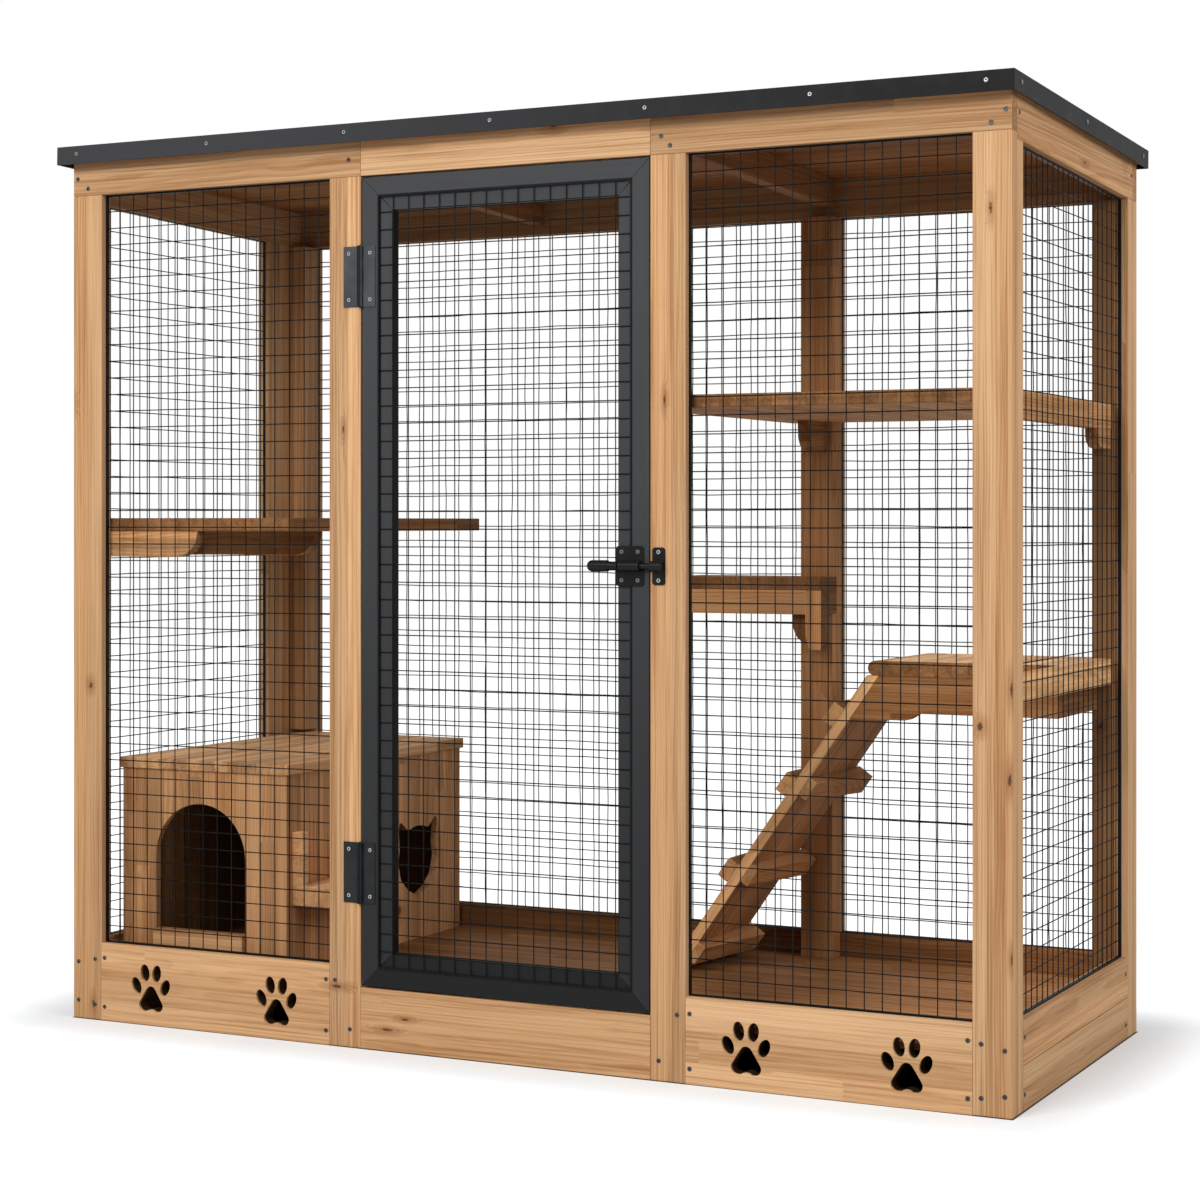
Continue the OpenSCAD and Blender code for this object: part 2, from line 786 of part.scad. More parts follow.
module roof_trim_sides() {
    top = roof_top;
    color(charcoal) on_roof() difference() {
        both_sides() {
            block([roof_x - trim_t, roof_y0 + trim_t, -trim_drop], [roof_x, roof_y1 - trim_t, top - trim_t]);
            block([roof_x - trim_leg, roof_y0 + trim_leg, top - trim_t],
                [roof_x, roof_y1 - trim_leg, top]);
        }
        both_sides() at_right(trim_side_points) pilot(trim_screw_l);
    }
}

// Mesh panel in X and Z with its middle plane at Y zero. The upper edge may slope.
module net(w, z0, top0, top1, pitch) {
    across = floor(w / pitch);
    rows = floor((min(top0, top1) - z0) / pitch);
    step_x = w / across;
    step_z = (min(top0, top1) - z0) / rows;
    function top(x) = top0 + (top1 - top0) * x / w;
    translate([0, edge_d / 2, 0]) rotate([90, 0, 0]) linear_extrude(edge_d) difference() {
        polygon([[0, z0], [w, z0], [w, top1], [0, top0]]);
        polygon([[edge_w, z0 + edge_w], [w - edge_w, z0 + edge_w],
            [w - edge_w, top(w - edge_w) - edge_w], [edge_w, top(edge_w) - edge_w]]);
    }
    for (i = [1:across - 1]) {
        x = i * step_x - wire / 2;
        block([x, -wire - wire_gap / 2, z0 + edge_w / 2],
            [x + wire, -wire_gap / 2, min(top(x), top(x + wire)) - edge_w / 2]);
    }
    for (i = [1:rows - 1]) {
        z = z0 + i * step_z - wire / 2;
        block([edge_w / 2, wire_gap / 2, z], [w - edge_w / 2, wire + wire_gap / 2, z + wire]);
    }
}

module mesh_front_left() {
    color(wire_tone) translate([left_x0, -half_d + mesh_set, 0])
        net(left_bay, skirt_h, post_h, post_h, net_pitch);
}

module mesh_front_right() {
    color(wire_tone) translate([right_x0, -half_d + mesh_set, 0])
        net(right_bay, skirt_h, post_h, post_h, net_pitch);
}

// Side mesh from the front stile to a distance
module side_net(y1) {
    translate([half_w - mesh_set, -side_y, 0]) rotate([0, 0, 90])
        net(y1 + side_y, skirt_h, roof_z(-side_y) - side_rail_h, roof_z(y1) - side_rail_h,
            net_pitch);
}

module mesh_left() {
    color(wire_tone) mirror([1, 0, 0]) side_net(side_y - left_board_w);
}

module mesh_right() {
    color(wire_tone) side_net(side_y);
}

module mesh_rear_wide() {
    color(wire_tone) translate([left_x0, half_d - mesh_set, 0])
        net(back_post_x0 - left_x0, skirt_h, rear_h, rear_h, wide_pitch);
}

module mesh_rear_narrow() {
    color(wire_tone) translate([back_post_x1, half_d - mesh_set, 0])
        net(right_x1 - back_post_x1, skirt_h, rear_h, rear_h, net_pitch);
}

module house_front() {
    spring = floor_z + arch_sill + arch_h - arch_w / 2;
    color(shade_timber) difference() {
        block([house_x0, house_y0, floor_z], [house_x1, house_y0 + house_t, house_top]);
        block([arch_x - arch_w / 2, house_y0 - cut, floor_z + arch_sill],
            [arch_x + arch_w / 2, house_y0 + house_t + cut, spring]);
        translate([arch_x, house_y0 - cut, spring]) rotate([-90, 0, 0])
            cylinder(h = house_t + 2 * cut, r = arch_w / 2, $fn = 96);
    }
}

// Head of a cat, seen from the front, with its chin at the origin
module cat_head() {
    w = window_w / 2;
    h = window_h;
    right = [[0.1, 0], [0.5, 0.08], [0.86, 0.23], [1, 0.45], [0.93, 0.62], [0.97, 0.86],
        [0.93, 1], [0.5, 0.85], [0.25, 0.885], [0, 0.895]];
    half = [for (p = right) [p[0] * w, p[1] * h]];
    other = [for (i = [len(half) - 2:-1:0]) [-half[i][0], half[i][1]]];
    offset(r = 7, $fn = 32) offset(delta = -7) polygon(concat(half, other));
}

module house_side(x) {
    block([x, house_y0 + house_t, floor_z], [x + house_t, house_y1 - house_t, house_top]);
}

module house_right() {
    color(shade_timber) difference() {
        house_side(house_x1 - house_t);
        translate([house_x1 - house_t - cut, window_mid, floor_z + window_z]) rotate([90, 0, 90])
            linear_extrude(house_t + 2 * cut) cat_head();
    }
}

module house_left() {
    color(shade_timber) house_side(house_x0);
}

module house_back() {
    color(shade_timber)
        block([house_x0, house_y1 - house_t, floor_z], [house_x1, house_y1, house_top]);
}

module house_floor() {
    color(shade_timber) block([house_x0 + house_t, house_y0 + house_t, floor_z],
        [house_x1 - house_t, house_y1 - house_t, floor_z + house_floor_t]);
}

module house_lid() {
    color(shade_timber) block([house_x0 - lid_over, house_y0 - lid_over, house_top],
        [house_x1 + lid_over, house_y1 + lid_over, house_top + lid_t]);
}

module house_strip() {
    z1 = floor_z + arch_sill;
    color(timber) block([arch_x - arch_w / 2, house_y0 - strip_t, z1 - strip_h],
        [arch_x + arch_w / 2, house_y0, z1]);
}

module house_step() {
    y0 = house_y0 + step_in;
    z0 = floor_z + step_z;
    z1 = z0 + step_low_t;
    color(timber) {
        block([house_x1, y0, z0], [house_x1 + step_w, y0 + step_l, z1]);
        block([house_x1, y0 + step_l - step_high_l, z1],
            [house_x1 + step_w - 20, y0 + step_l, z1 + step_high_t]);
        block([house_x1, y0, z1], [house_x1 + batten_w, y0 + batten_w, z1 + batten_h]);
    }
}

module left_shelf() {
    color(shade_timber) difference() {
        block([-shelf_x, in_front + shelf_gap, left_under],
            [-shelf_x + left_shelf_w, in_rear - shelf_gap, left_shelf_z]);
        rear_notches(left_under, left_shelf_z);
    }
}

module arm(l) {
    bracket(l, arm_h, cleat_t, arm_h * 1.1, arm_h * 0.84);
}

module left_shelf_arms() {
    color(timber) {
        translate([-shelf_x, in_front + cleat_t / 2, left_under]) arm(arm_front_l);
        translate([-ledger_x, arm_mid_y, left_under]) arm(arm_mid_l);
        block([-shelf_x, in_front + cleat_t, left_under - arm_h],
            [-ledger_x, back_post_y, left_under]);
    }
}

module upper_shelf() {
    color(shade_timber) difference() {
        block([upper_shelf_x, in_front + shelf_gap, upper_under],
            [ledger_x, in_rear - shelf_gap, upper_shelf_z]);
        rear_notches(upper_under, upper_shelf_z);
    }
}

// Rounded corbel that stands out from a rear timber
module corbel(x, y, z, l, h) {
    translate([x, y, z]) rotate([0, 0, -90]) bracket(l, h, corbel_t, l / 2, h * 0.6);
}

module upper_shelf_supports() {
    cleat_h = ledger_h - 4;
    color(timber) {
        block([ledger_x, in_front, upper_shelf_z - ledger_h], [shelf_x, back_post_y, upper_shelf_z]);
        block([door_x1 + 4, in_front, upper_under - cleat_h],
            [right_x0 - 20, in_front + cleat_t, upper_under]);
        corbel(rear_post_x + 10, back_post_y, upper_under, corbel_l, corbel_h);
        corbel(shelf_x - corbel_t / 2 - 3, back_post_y, upper_shelf_z - ledger_h, corbel_l,
            corbel_h - ledger_h + upper_shelf_t);
    }
}

module middle_shelf() {
    color(shade_timber) difference() {
        block([mid_shelf_x, mid_shelf_y0, mid_under], [mid_shelf_x1, in_rear - shelf_gap, mid_shelf_z]);
        block([back_post_x0, back_post_y, mid_under - cut],
            [mid_shelf_x1 + cut, in_rear, mid_shelf_z + cut]);
    }
}

// Outline of a hanging plate whose lower left corner is curved
function hanging(x0, x1, z, h, r) = concat([[x0, z], [x1, z], [x1, z - h]],
    [for (a = [0:15:90]) [x0 + r * (1 - sin(a)), z - h + h * 0.7 * (1 - cos(a))]]);

module middle_shelf_supports() {
    z0 = mid_under - mid_apron_h;
    color(timber) {
        block([mid_shelf_x, mid_shelf_y0, z0], [mid_shelf_x1, mid_shelf_y0 + apron_t, mid_under]);
        block([mid_shelf_x, in_rear - apron_t, z0], [back_post_x0, in_rear, mid_under]);
        block([mid_shelf_x1 - corbel_t, mid_shelf_y0 + apron_t, z0],
            [mid_shelf_x1, back_post_y, mid_under]);
        along_y(mid_shelf_y0, mid_shelf_y0 + mid_plate_t,
            hanging(mid_shelf_x1 - mid_plate_w, mid_shelf_x1, z0, mid_plate_h, mid_plate_w / 3));
        along_y(mid_shelf_y0 + mid_plate_t, back_post_y,
            hanging(back_post_x0 + 8, back_post_x1, z0, mid_corbel_h, mid_plate_w));
    }
}

module landing_board() {
    r = landing_t / 2;
    color(shade_timber) difference() {
        union() {
            block([landing_x + r, landing_y, landing_under],
                [ledger_x, landing_y1 - shelf_gap, landing_z]);
            translate([landing_x + r, landing_y, landing_under + r]) rotate([-90, 0, 0])
                cylinder(h = landing_y1 - shelf_gap - landing_y, r = r);
        }
        rear_notches(landing_under, landing_z);
    }
}

// Apron that runs from the lower face of the ramp, with a deeper scrolled end beside the ramp
module landing_apron() {
    z0 = landing_under - landing_apron_h;
    x0 = ramp_top_x + ramp_cut + ramp_air;
    x1 = apron_x0 + scroll_l;
    along_y(landing_y + 2, landing_y + 2 + apron_t, concat(
        [[x0, landing_under],
            [x0 - (landing_apron_h + scroll_drop) / tan(ramp_slope), z0 - scroll_drop]],
        [for (a = [0:20:180]) [x1 - scroll_run * (1 - a / 180), z0 - scroll_drop * (1 + cos(a)) / 2]],
        [[ledger_x, z0], [ledger_x, landing_under]]));
}

module landing_supports() {
    color(timber) {
        landing_apron();
        block([apron_x0, in_rear - apron_t, landing_under - landing_apron_h],
            [right_x1, in_rear, landing_under]);
        block([ledger_x - apron_t, landing_y + 2 + apron_t, landing_under - landing_apron_h],
            [ledger_x, back_post_y, landing_under]);
        block([ledger_x, in_front, landing_z - ledger_h], [shelf_x, back_post_y, landing_z]);
    }
}

module ramp_plank() {
    color(shade_timber) along_y(landing_y, ramp_y1,
        [[ramp_foot_x, floor_z], [ramp_foot_x + ramp_cut, floor_z],
            [ramp_top_x + ramp_cut, landing_under], [ramp_top_x, landing_under]]);
}

// Bars across the upper face of the ramp and tapered cleats across its lower face, which lie a
// little higher, clear of the floor. The highest bar has the apron behind it and no cleat.
cleat_shift = 20;
tread_z = [tread_1_z, tread_2_z, tread_3_z, tread_4_z];

module ramp_bar(z, shift) {
    translate([ramp_foot_x + z / tan(ramp_slope), landing_y, floor_z + z])
        rotate([0, -ramp_slope, 0]) translate([shift - tread_w / 2, 0, 0]) children();
}

module ramp_treads() {
    w = tread_y1 - landing_y;
    color(timber) {
        for (z = tread_z) ramp_bar(z, 0) cube([tread_w, w, tread_t]);
        for (i = [0:2]) ramp_bar(tread_z[i], cleat_shift) translate([0, 0, -ramp_t])
            rotate([90, 0, 90]) linear_extrude(tread_w)
                polygon([[0, -cleat_front_t], [w, -cleat_rear_t], [w, 0], [0, 0]]);
    }
}

hinge_z = [hinge_low_z, hinge_high_z];
post_leaf_screws = [for (z = hinge_z) for (s = [-1, 1])
    [post_screw_x, -half_d, z + s * hinge_screw_z]];
door_leaf_screws = [for (z = hinge_z) for (s = [-1, 1])
    [door_screw_x, -half_d, z + s * hinge_screw_z]];
keeper_screws = [for (s = [-1, 1]) [keeper_screw_x, -half_d, bolt_z + s * latch_screw_z]];
plate_screws = [for (x = plate_screw_x) for (s = [-1, 1]) [x, -half_d, bolt_z + s * latch_screw_z]];

// Knuckles of one leaf, counted upwards from the first, with the strip that joins them
module leaf_knuckles(first, side) {
    for (k = [first:2:knuckles - 1]) translate([hinge_x, hinge_y, k * knuckle_l - hinge_h / 2]) {
        difference() {
            union() {
                cylinder(h = knuckle_l - knuckle_gap, r = knuckle_r);
                translate([side < 0 ? -knuckle_side : 0, knuckle_r + 0.5 - leaf_t, 0])
                    cube([knuckle_side, leaf_t, knuckle_l - knuckle_gap]);
            }
            translate([0, 0, -cut]) cylinder(h = knuckle_l + cut, r = pin_r + pin_play);
        }
    }
}

module post_hinge_leaves() {
    x1 = hinge_x - knuckle_side;
    color(black) difference() {
        for (z = hinge_z) translate([0, 0, z]) {
            block([hinge_x - post_leaf_w, -half_d - leaf_t, -hinge_h / 2],
                [x1, -half_d, hinge_h / 2 - knuckle_gap]);
            leaf_knuckles(0, -1);
        }
        translate([0, -leaf_t, 0]) at_front(post_leaf_screws) pilot(small_screw_l);
    }
}

module door_hinge_leaves() {
    x0 = hinge_x + knuckle_side;
    color(black) difference() {
        for (z = hinge_z) translate([0, 0, z]) {
            block([x0, -half_d - leaf_t, -hinge_h / 2],
                [hinge_x + door_leaf_w, -half_d, hinge_h / 2 - knuckle_gap]);
            leaf_knuckles(1, 1);
        }
        translate([0, -leaf_t, 0]) at_front(door_leaf_screws) pilot(small_screw_l);
    }
}

module hinge_pins() {
    top = hinge_h / 2 - knuckle_gap;
    color(black) for (z = hinge_z) translate([hinge_x, hinge_y, z]) {
        translate([0, 0, -hinge_h / 2]) cylinder(h = hinge_h - knuckle_gap, r = pin_r);
        translate([0, 0, top]) cylinder(h = pin_head_t, r1 = pin_head_r, r2 = pin_r);
        translate([0, 0, -hinge_h / 2 - pin_head_t]) cylinder(h = pin_head_t, r1 = pin_r, r2 = pin_head_r);
    }
}

// Plate with rounded corners on the front face
module face_plate(x0, x1, h) {
    r = 6;
    translate([0, -half_d, bolt_z - h / 2]) rotate([90, 0, 0]) linear_extrude(leaf_t) {
        translate([x0, r]) square([x1 - x0, h - 2 * r]);
        translate([x0 + r, 0]) square([x1 - x0 - 2 * r, h]);
        for (x = [x0 + r, x1 - r]) for (z = [r, h - r]) translate([x, z]) circle(r);
    }
}

module sleeve(x0, x1, outer, inner) {
    translate([x0, rod_y, bolt_z]) rotate([0, 90, 0]) difference() {
        cylinder(h = x1 - x0, r = outer);
        translate([0, 0, -cut]) cylinder(h = x1 - x0 + 2 * cut, r = inner);
    }
}

module bolt_keeper() {
    x1 = keeper_x0 + keeper_w;
    color(black) difference() {
        union() {
            face_plate(keeper_x0, x1, keeper_h);
            sleeve(keeper_x0 + 2, x1 - 2, guide_r, rod_r + keeper_play);
        }
        translate([0, -leaf_t, 0]) at_front(keeper_screws) pilot(small_screw_l);
    }
}

module bolt_base() {
    color(black) difference() {
        union() {
            face_plate(plate_x0, plate_x1, plate_h);
            sleeve(guide_x0, guide_x1, guide_r, rod_r + rod_play);
        }
        translate([0, -leaf_t, 0]) at_front(plate_screws) pilot(small_screw_l);
    }
}

module bolt_rod() {
    dome = grip_r * 0.25;
    collar = grip_r * 0.78;
    color(black) translate([0, rod_y, bolt_z]) rotate([0, 90, 0]) rotate_extrude() polygon(concat(
        [[0, rod_x1], [rod_r - 1, rod_x1], [rod_r, rod_x1 - 1], [rod_r, guide_x0 - 2],
            [collar, guide_x0 - 3], [collar, grip_x1]],
        [for (a = [30:30:90]) [grip_r - dome + dome * sin(a), grip_x1 - dome + dome * cos(a)]],
        [for (a = [90:-22.5:0]) [grip_r * sin(a), grip_x1 - grip_l + grip_r * (1 - cos(a))]]));
}

module door_member_shape(points) {
    difference() {
        along_y(-half_d, -half_d + door_t, points);
        block([leaf_x0 + rim, -half_d - cut, leaf_z0 + rim],
            [leaf_x1 - rim, -half_d + rebate_d, leaf_z1 - rim]);
    }
}

module door_stiles() {
    m = door_member;
    color(charcoal) difference() {
        union() {
            door_member_shape([[leaf_x0, leaf_z0], [leaf_x0 + m, leaf_z0 + m],
                [leaf_x0 + m, leaf_z1 - m], [leaf_x0, leaf_z1]]);
            door_member_shape([[leaf_x1, leaf_z0], [leaf_x1, leaf_z1],
                [leaf_x1 - m, leaf_z1 - m], [leaf_x1 - m, leaf_z0 + m]]);
        }
        at_front(concat(door_leaf_screws, plate_screws)) pilot(small_screw_l);
    }
}

module door_rails() {
    m = door_member;
    color(charcoal) {
        door_member_shape([[leaf_x0, leaf_z0], [leaf_x1, leaf_z0],
            [leaf_x1 - m, leaf_z0 + m], [leaf_x0 + m, leaf_z0 + m]]);
        door_member_shape([[leaf_x0, leaf_z1], [leaf_x0 + m, leaf_z1 - m],
            [leaf_x1 - m, leaf_z1 - m], [leaf_x1, leaf_z1]]);
    }
}

// Mesh let into the rebate, so that it lies flush with the front of the door
module door_mesh() {
    w = leaf_w - 2 * rim;
    color(wire_tone) translate([leaf_x0 + rim, -half_d + rebate_d / 2, 0]) intersection() {
        net(w, leaf_z0 + rim, leaf_z1 - rim, leaf_z1 - rim, net_pitch);
        block([0, -rebate_d / 2, leaf_z0], [w, rebate_d / 2, leaf_z1]);
    }
}

module frame_screws() {
    color(black) {
        at_front(concat(corner_points, mid_points, skirt_points(left_x0, left_x1),
            skirt_points(right_x0, right_x1))) screw(frame_screw_l);
        at_front(concat(rail_points, seam_points)) screw(timber_t - 3 * cut);
        both_sides() {
            at_right(side_points) screw(frame_screw_l);
            at_right(side_top_points) screw(timber_t - 3 * cut);
        }
        on_roof() {
            at_front(trim_front_points) screw(trim_screw_l);
            at_rear(trim_rear_points) screw(trim_screw_l);
            both_sides() at_right(trim_side_points) screw(trim_screw_l);
        }
        translate([0, -leaf_t, 0]) at_front(concat(post_leaf_screws, keeper_screws))
            screw(small_screw_l);
    }
}

module door_screws() {
    color(black) translate([0, -leaf_t, 0])
        at_front(concat(door_leaf_screws, plate_screws)) screw(small_screw_l);
}

front_corner_posts();
hinge_post();
latch_post();
front_rail_left();
front_header();
front_rail_right();
front_skirt_left();
front_skirt_right();
door_sill();
rear_corner_posts();
rear_middle_post();
rear_rail();
side_stiles();
side_rails();
side_skirts();
rear_skirts();
corner_blocks();
floor_bearers();
floor_boards();
rafters();
roof_boards();
roof_covering();
roof_trim_long();
roof_trim_sides();
mesh_front_left();
mesh_front_right();
mesh_left();
mesh_right();
mesh_rear_wide();
mesh_rear_narrow();
house_front();
house_right();
house_left();
house_back();
house_floor();
house_lid();
house_strip();
house_step();
left_shelf();
left_shelf_arms();
upper_shelf();
upper_shelf_supports();
middle_shelf();
middle_shelf_supports();
landing_board();
landing_supports();
ramp_plank();
ramp_treads();
post_hinge_leaves();
hinge_pins();
bolt_keeper();
frame_screws();
door_stiles();
door_rails();
door_mesh();
door_hinge_leaves();
bolt_base();
door_screws();
bolt_rod();
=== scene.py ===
# %% [markdown]
# # A timber cat enclosure, dressed for its photograph
# The object is an outdoor run for cats: a softwood frame with a lean-to roof, black wire mesh in
# every bay, one charcoal door on two butt hinges, and a cat house, shelves and a ramp inside. The
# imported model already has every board, hinge and panel where it belongs. This lesson loads it,
# gives the boards eased edges and real grain, winds proper wire for the mesh and puts domed heads
# on the screws. Nothing moves and nothing changes size, so the joints keep working.

import json
import math
import random
from functools import partialmethod

import bmesh
import bpy
import numpy as np
from mathutils import Matrix, Vector

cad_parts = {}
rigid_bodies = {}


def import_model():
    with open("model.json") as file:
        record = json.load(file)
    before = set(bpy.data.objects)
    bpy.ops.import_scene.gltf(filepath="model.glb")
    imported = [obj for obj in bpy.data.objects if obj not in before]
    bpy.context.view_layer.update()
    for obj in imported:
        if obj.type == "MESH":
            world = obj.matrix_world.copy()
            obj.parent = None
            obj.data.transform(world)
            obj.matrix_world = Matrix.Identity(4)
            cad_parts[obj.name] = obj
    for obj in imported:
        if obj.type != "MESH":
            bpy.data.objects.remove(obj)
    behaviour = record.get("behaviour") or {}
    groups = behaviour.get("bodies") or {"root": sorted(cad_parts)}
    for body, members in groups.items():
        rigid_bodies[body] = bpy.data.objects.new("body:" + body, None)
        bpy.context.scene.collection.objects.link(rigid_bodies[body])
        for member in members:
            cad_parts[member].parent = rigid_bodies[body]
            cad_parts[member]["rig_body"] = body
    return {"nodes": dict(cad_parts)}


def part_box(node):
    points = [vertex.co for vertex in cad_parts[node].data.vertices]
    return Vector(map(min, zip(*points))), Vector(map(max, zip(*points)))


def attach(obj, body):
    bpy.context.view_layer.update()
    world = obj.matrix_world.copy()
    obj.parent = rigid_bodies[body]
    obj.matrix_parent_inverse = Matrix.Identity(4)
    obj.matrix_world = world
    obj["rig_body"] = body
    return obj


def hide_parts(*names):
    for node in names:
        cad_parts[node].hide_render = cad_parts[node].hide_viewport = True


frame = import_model()
nodes = frame["nodes"]
body_of = {name: node["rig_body"] for name, node in nodes.items()}
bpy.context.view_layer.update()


def placed(name, data):
    """A new object of the scene."""
    thing = bpy.data.objects.new(name, data)
    bpy.context.scene.collection.objects.link(thing)
    return thing


# %% [markdown]
# ## Camera
# The photograph was taken a little above the middle of the door, from the right, with upright
# lines kept parallel. So the camera stays level and the lens is shifted instead of tilted. Its
# place was solved from corners of the frame whose real size is known.

# %% Camera
camera_data = bpy.data.cameras.new("Camera")
camera_data.sensor_width = 36
camera_data.lens = 75.42
camera_data.shift_y = -0.0645
camera_data.clip_end = 60
camera = placed("Camera", camera_data)
camera.location = (2.28775, -4.57104, 1.01974)
camera.rotation_euler = (math.radians(90), 0, math.radians(26.53))
bpy.context.scene.camera = camera
print("camera is", round((camera.location - Vector((0, 0, 0.9))).length, 2), "m from the middle")

# %% [markdown]
# ## Writing shader maths as plain expressions
# Wood needs a lot of small sums: which strip of the board a point is in, how far it is from the
# heart of the tree, how dark that ring is. Node by node that is hard to read. One small class
# wraps a socket, so that `1 - ring * 0.4` adds the nodes by itself. Numbers go through Math nodes,
# and colours and vectors through Vector Math and Mix, because a Math node would turn them grey.


# %% A socket with arithmetic
def find_socket(sockets, key):
    """A socket by its number, its identifier or its name."""
    if isinstance(key, int):
        return sockets[key]
    exact = [socket for socket in sockets if socket.identifier == key]
    return (exact or [socket for socket in sockets if socket.name == key])[0]


def any_wide(*values):
    """Whether a colour or a vector is among these values."""
    return any(isinstance(v, tuple) or isinstance(v, Field) and v.socket.type in ("VECTOR", "RGBA")
               for v in values)


class Field:
    """One socket's value in a tree, which sums and products can be taken of."""

    def __init__(self, look, socket):
        self.look, self.socket = look, socket

    def join(self, operation, other, swapped=False):
        pair = (other, self) if swapped else (self, other)
        kind = "VectorMath" if any_wide(*pair) else "Math"
        return self.look.node(kind, {"operation": operation}, dict(enumerate(pair)))

    def math(self, operation, *others):
        values = dict(enumerate((self, *others)))
        return self.look.node("Math", {"operation": operation}, values)

    def part(self, axis):
        return self.look.node("SeparateXYZ", {}, {"Vector": self}, out=axis)

    def ramp(self, low, high):
        """0 below low, 1 above high, with a soft step between."""
        return self.look.node("MapRange", {"interpolation_type": "SMOOTHSTEP"},
                              {"Value": self, "From Min": low, "From Max": high})


# The signs +, -, * and /, with the field on either side of them
SIGNS = {"add": "ADD", "sub": "SUBTRACT", "mul": "MULTIPLY", "truediv": "DIVIDE"}
for word, operation in SIGNS.items():
    setattr(Field, f"__{word}__", partialmethod(Field.join, operation))
    setattr(Field, f"__r{word}__", partialmethod(Field.join, operation, swapped=True))


# %% Adding nodes to a tree
class Maker:
    """Adds nodes to any tree: of a material, of the world or of geometry."""

    def __init__(self, tree):
        self.tree = tree

    def put(self, socket, value):
        if isinstance(value, Field):
            self.tree.links.new(value.socket, socket)
        elif isinstance(value, tuple) and len(value) == 3 and socket.type == "RGBA":
            socket.default_value = (*value, 1)
        elif not isinstance(value, tuple) and socket.type == "VECTOR":
            socket.default_value = (value, value, value)
        else:
            socket.default_value = value

    def node(self, kind, settings=None, values=None, out=0):
        """A new node's output. A kind that doesn't name its family is a shader node."""
        made = self.tree.nodes.new(kind if "Node" in kind else "ShaderNode" + kind)
        for key, value in (settings or {}).items():
            if key == "stops":
                while len(made.color_ramp.elements) < len(value):
                    made.color_ramp.elements.new(1)
                for element, (place, colour) in zip(made.color_ramp.elements, value):
                    element.position, element.color = place, (*colour, 1)
            else:
                setattr(made, key, value)
        for key, value in (values or {}).items():
            self.put(find_socket(made.inputs, key), value)
        return Field(self, find_socket(made.outputs, out))

    def vector(self, x, y, z):
        return self.node("CombineXYZ", {}, {0: x, 1: y, 2: z})

    def geometry(self, kind, **values):
        """A geometry node without settings. An underscore stands for the space in a name."""
        return self.node("GeometryNode" + kind, {},
                         {key.replace("_", " "): value for key, value in values.items()})


# %% A material made of fields
class Look(Maker):
    """A material under construction."""

    def __init__(self, name):
        self.material = bpy.data.materials.new(name)
        self.material.use_nodes = True
        super().__init__(self.material.node_tree)
        self.surface = self.tree.nodes["Principled BSDF"]

    def attribute(self, name, out="Vector"):
        return self.node("Attribute", {"attribute_name": name}, out=out)

    def place(self):
        return self.node("TexCoord", out="Object")

    def noise(self, at, detail=2.0, rough=0.5):
        return self.node("TexNoise", {},
                         {"Vector": at, "Scale": 1.0, "Detail": detail, "Roughness": rough})

    def cells(self, at, scale=1.0):
        """Distance to the nearest of many scattered points, and a chance value for that point."""
        return [self.node("TexVoronoi", {"feature": "F1"},
                          {"Vector": at, "Scale": scale}, out=out) for out in ("Distance", "Color")]

    def blend(self, first, second, factor):
        """From first to second as factor goes from 0 to 1, for numbers or for colours."""
        kind, tail = ("RGBA", "Color") if any_wide(first, second) else ("FLOAT", "Float")
        return self.node("Mix", {"data_type": kind},
                         {"Factor_Float": factor, "A_" + tail: first, "B_" + tail: second},
                         out="Result_" + tail)

    def finish(self, colour, rough, height, depth, strength, gloss):
        """Closes the material. height is carved depth metres deep."""
        bump = self.node("Bump", {},
                         {"Height": height, "Distance": depth, "Strength": strength})
        for name, value in (("Base Color", colour), ("Roughness", rough), ("Normal", bump),
                            ("Specular IOR Level", gloss)):
            self.put(self.surface.inputs[name], value)
        return self.material


print("shader helpers are ready")

# %% [markdown]
# ## Softwood
# The boards are oiled cedar or fir, glued up from strips about as wide as two fingers. A picture
# wrapped round a board looks like wallpaper at the ends. So the wood is solid: every board carries
# its own coordinates, with X along the fibres, and the growth rings are tubes round a heart line
# outside the board. A face cuts them lengthwise and shows fine streaks, and an end cuts them
# across and shows arcs. Each strip gets its own heart line and tone. Small knots are scattered,
# and a few large ones sit where the photograph has them.

# %% Places of the large knots
UP, LEVEL, FRONT = (1.0, 1.0, 0.26), (0.26, 0.9, 1.0), -0.416
LARGE_KNOTS = [((x, FRONT, z), size, stretch) for x, z, size, stretch in (
    (0.345, 1.243, 0.0024, UP), (0.943, 0.669, 0.0048, (1.0, 1.0, 0.7)),
    (1.000, 0.734, 0.0034, UP), (0.996, 0.580, 0.0030, UP), (1.000, 0.273, 0.0026, UP),
    (0.962, 1.560, 0.0026, UP), (-0.956, 0.686, 0.0040, (1.0, 1.0, 0.6)),
    (-0.950, 0.033, 0.0022, UP), (-0.345, 1.200, 0.0022, UP), (-0.359, 0.116, 0.0032, LEVEL),
    (-0.246, 0.041, 0.0028, LEVEL), (-0.205, 0.064, 0.0022, LEVEL))]
LARGE_KNOTS += [((1.000, 0.037, 1.692), 0.0026, (1.0, 0.26, 1.0)),
                ((0.946, 0.341, 0.614), 0.0046, (1.0, 1.0, 1.0))]
print(len(LARGE_KNOTS), "large knots")


# %% The wood material
RING_GAP, SEAM_WIDTH, KNOT = 0.0034, 0.0010, (0.070, 0.032, 0.014)


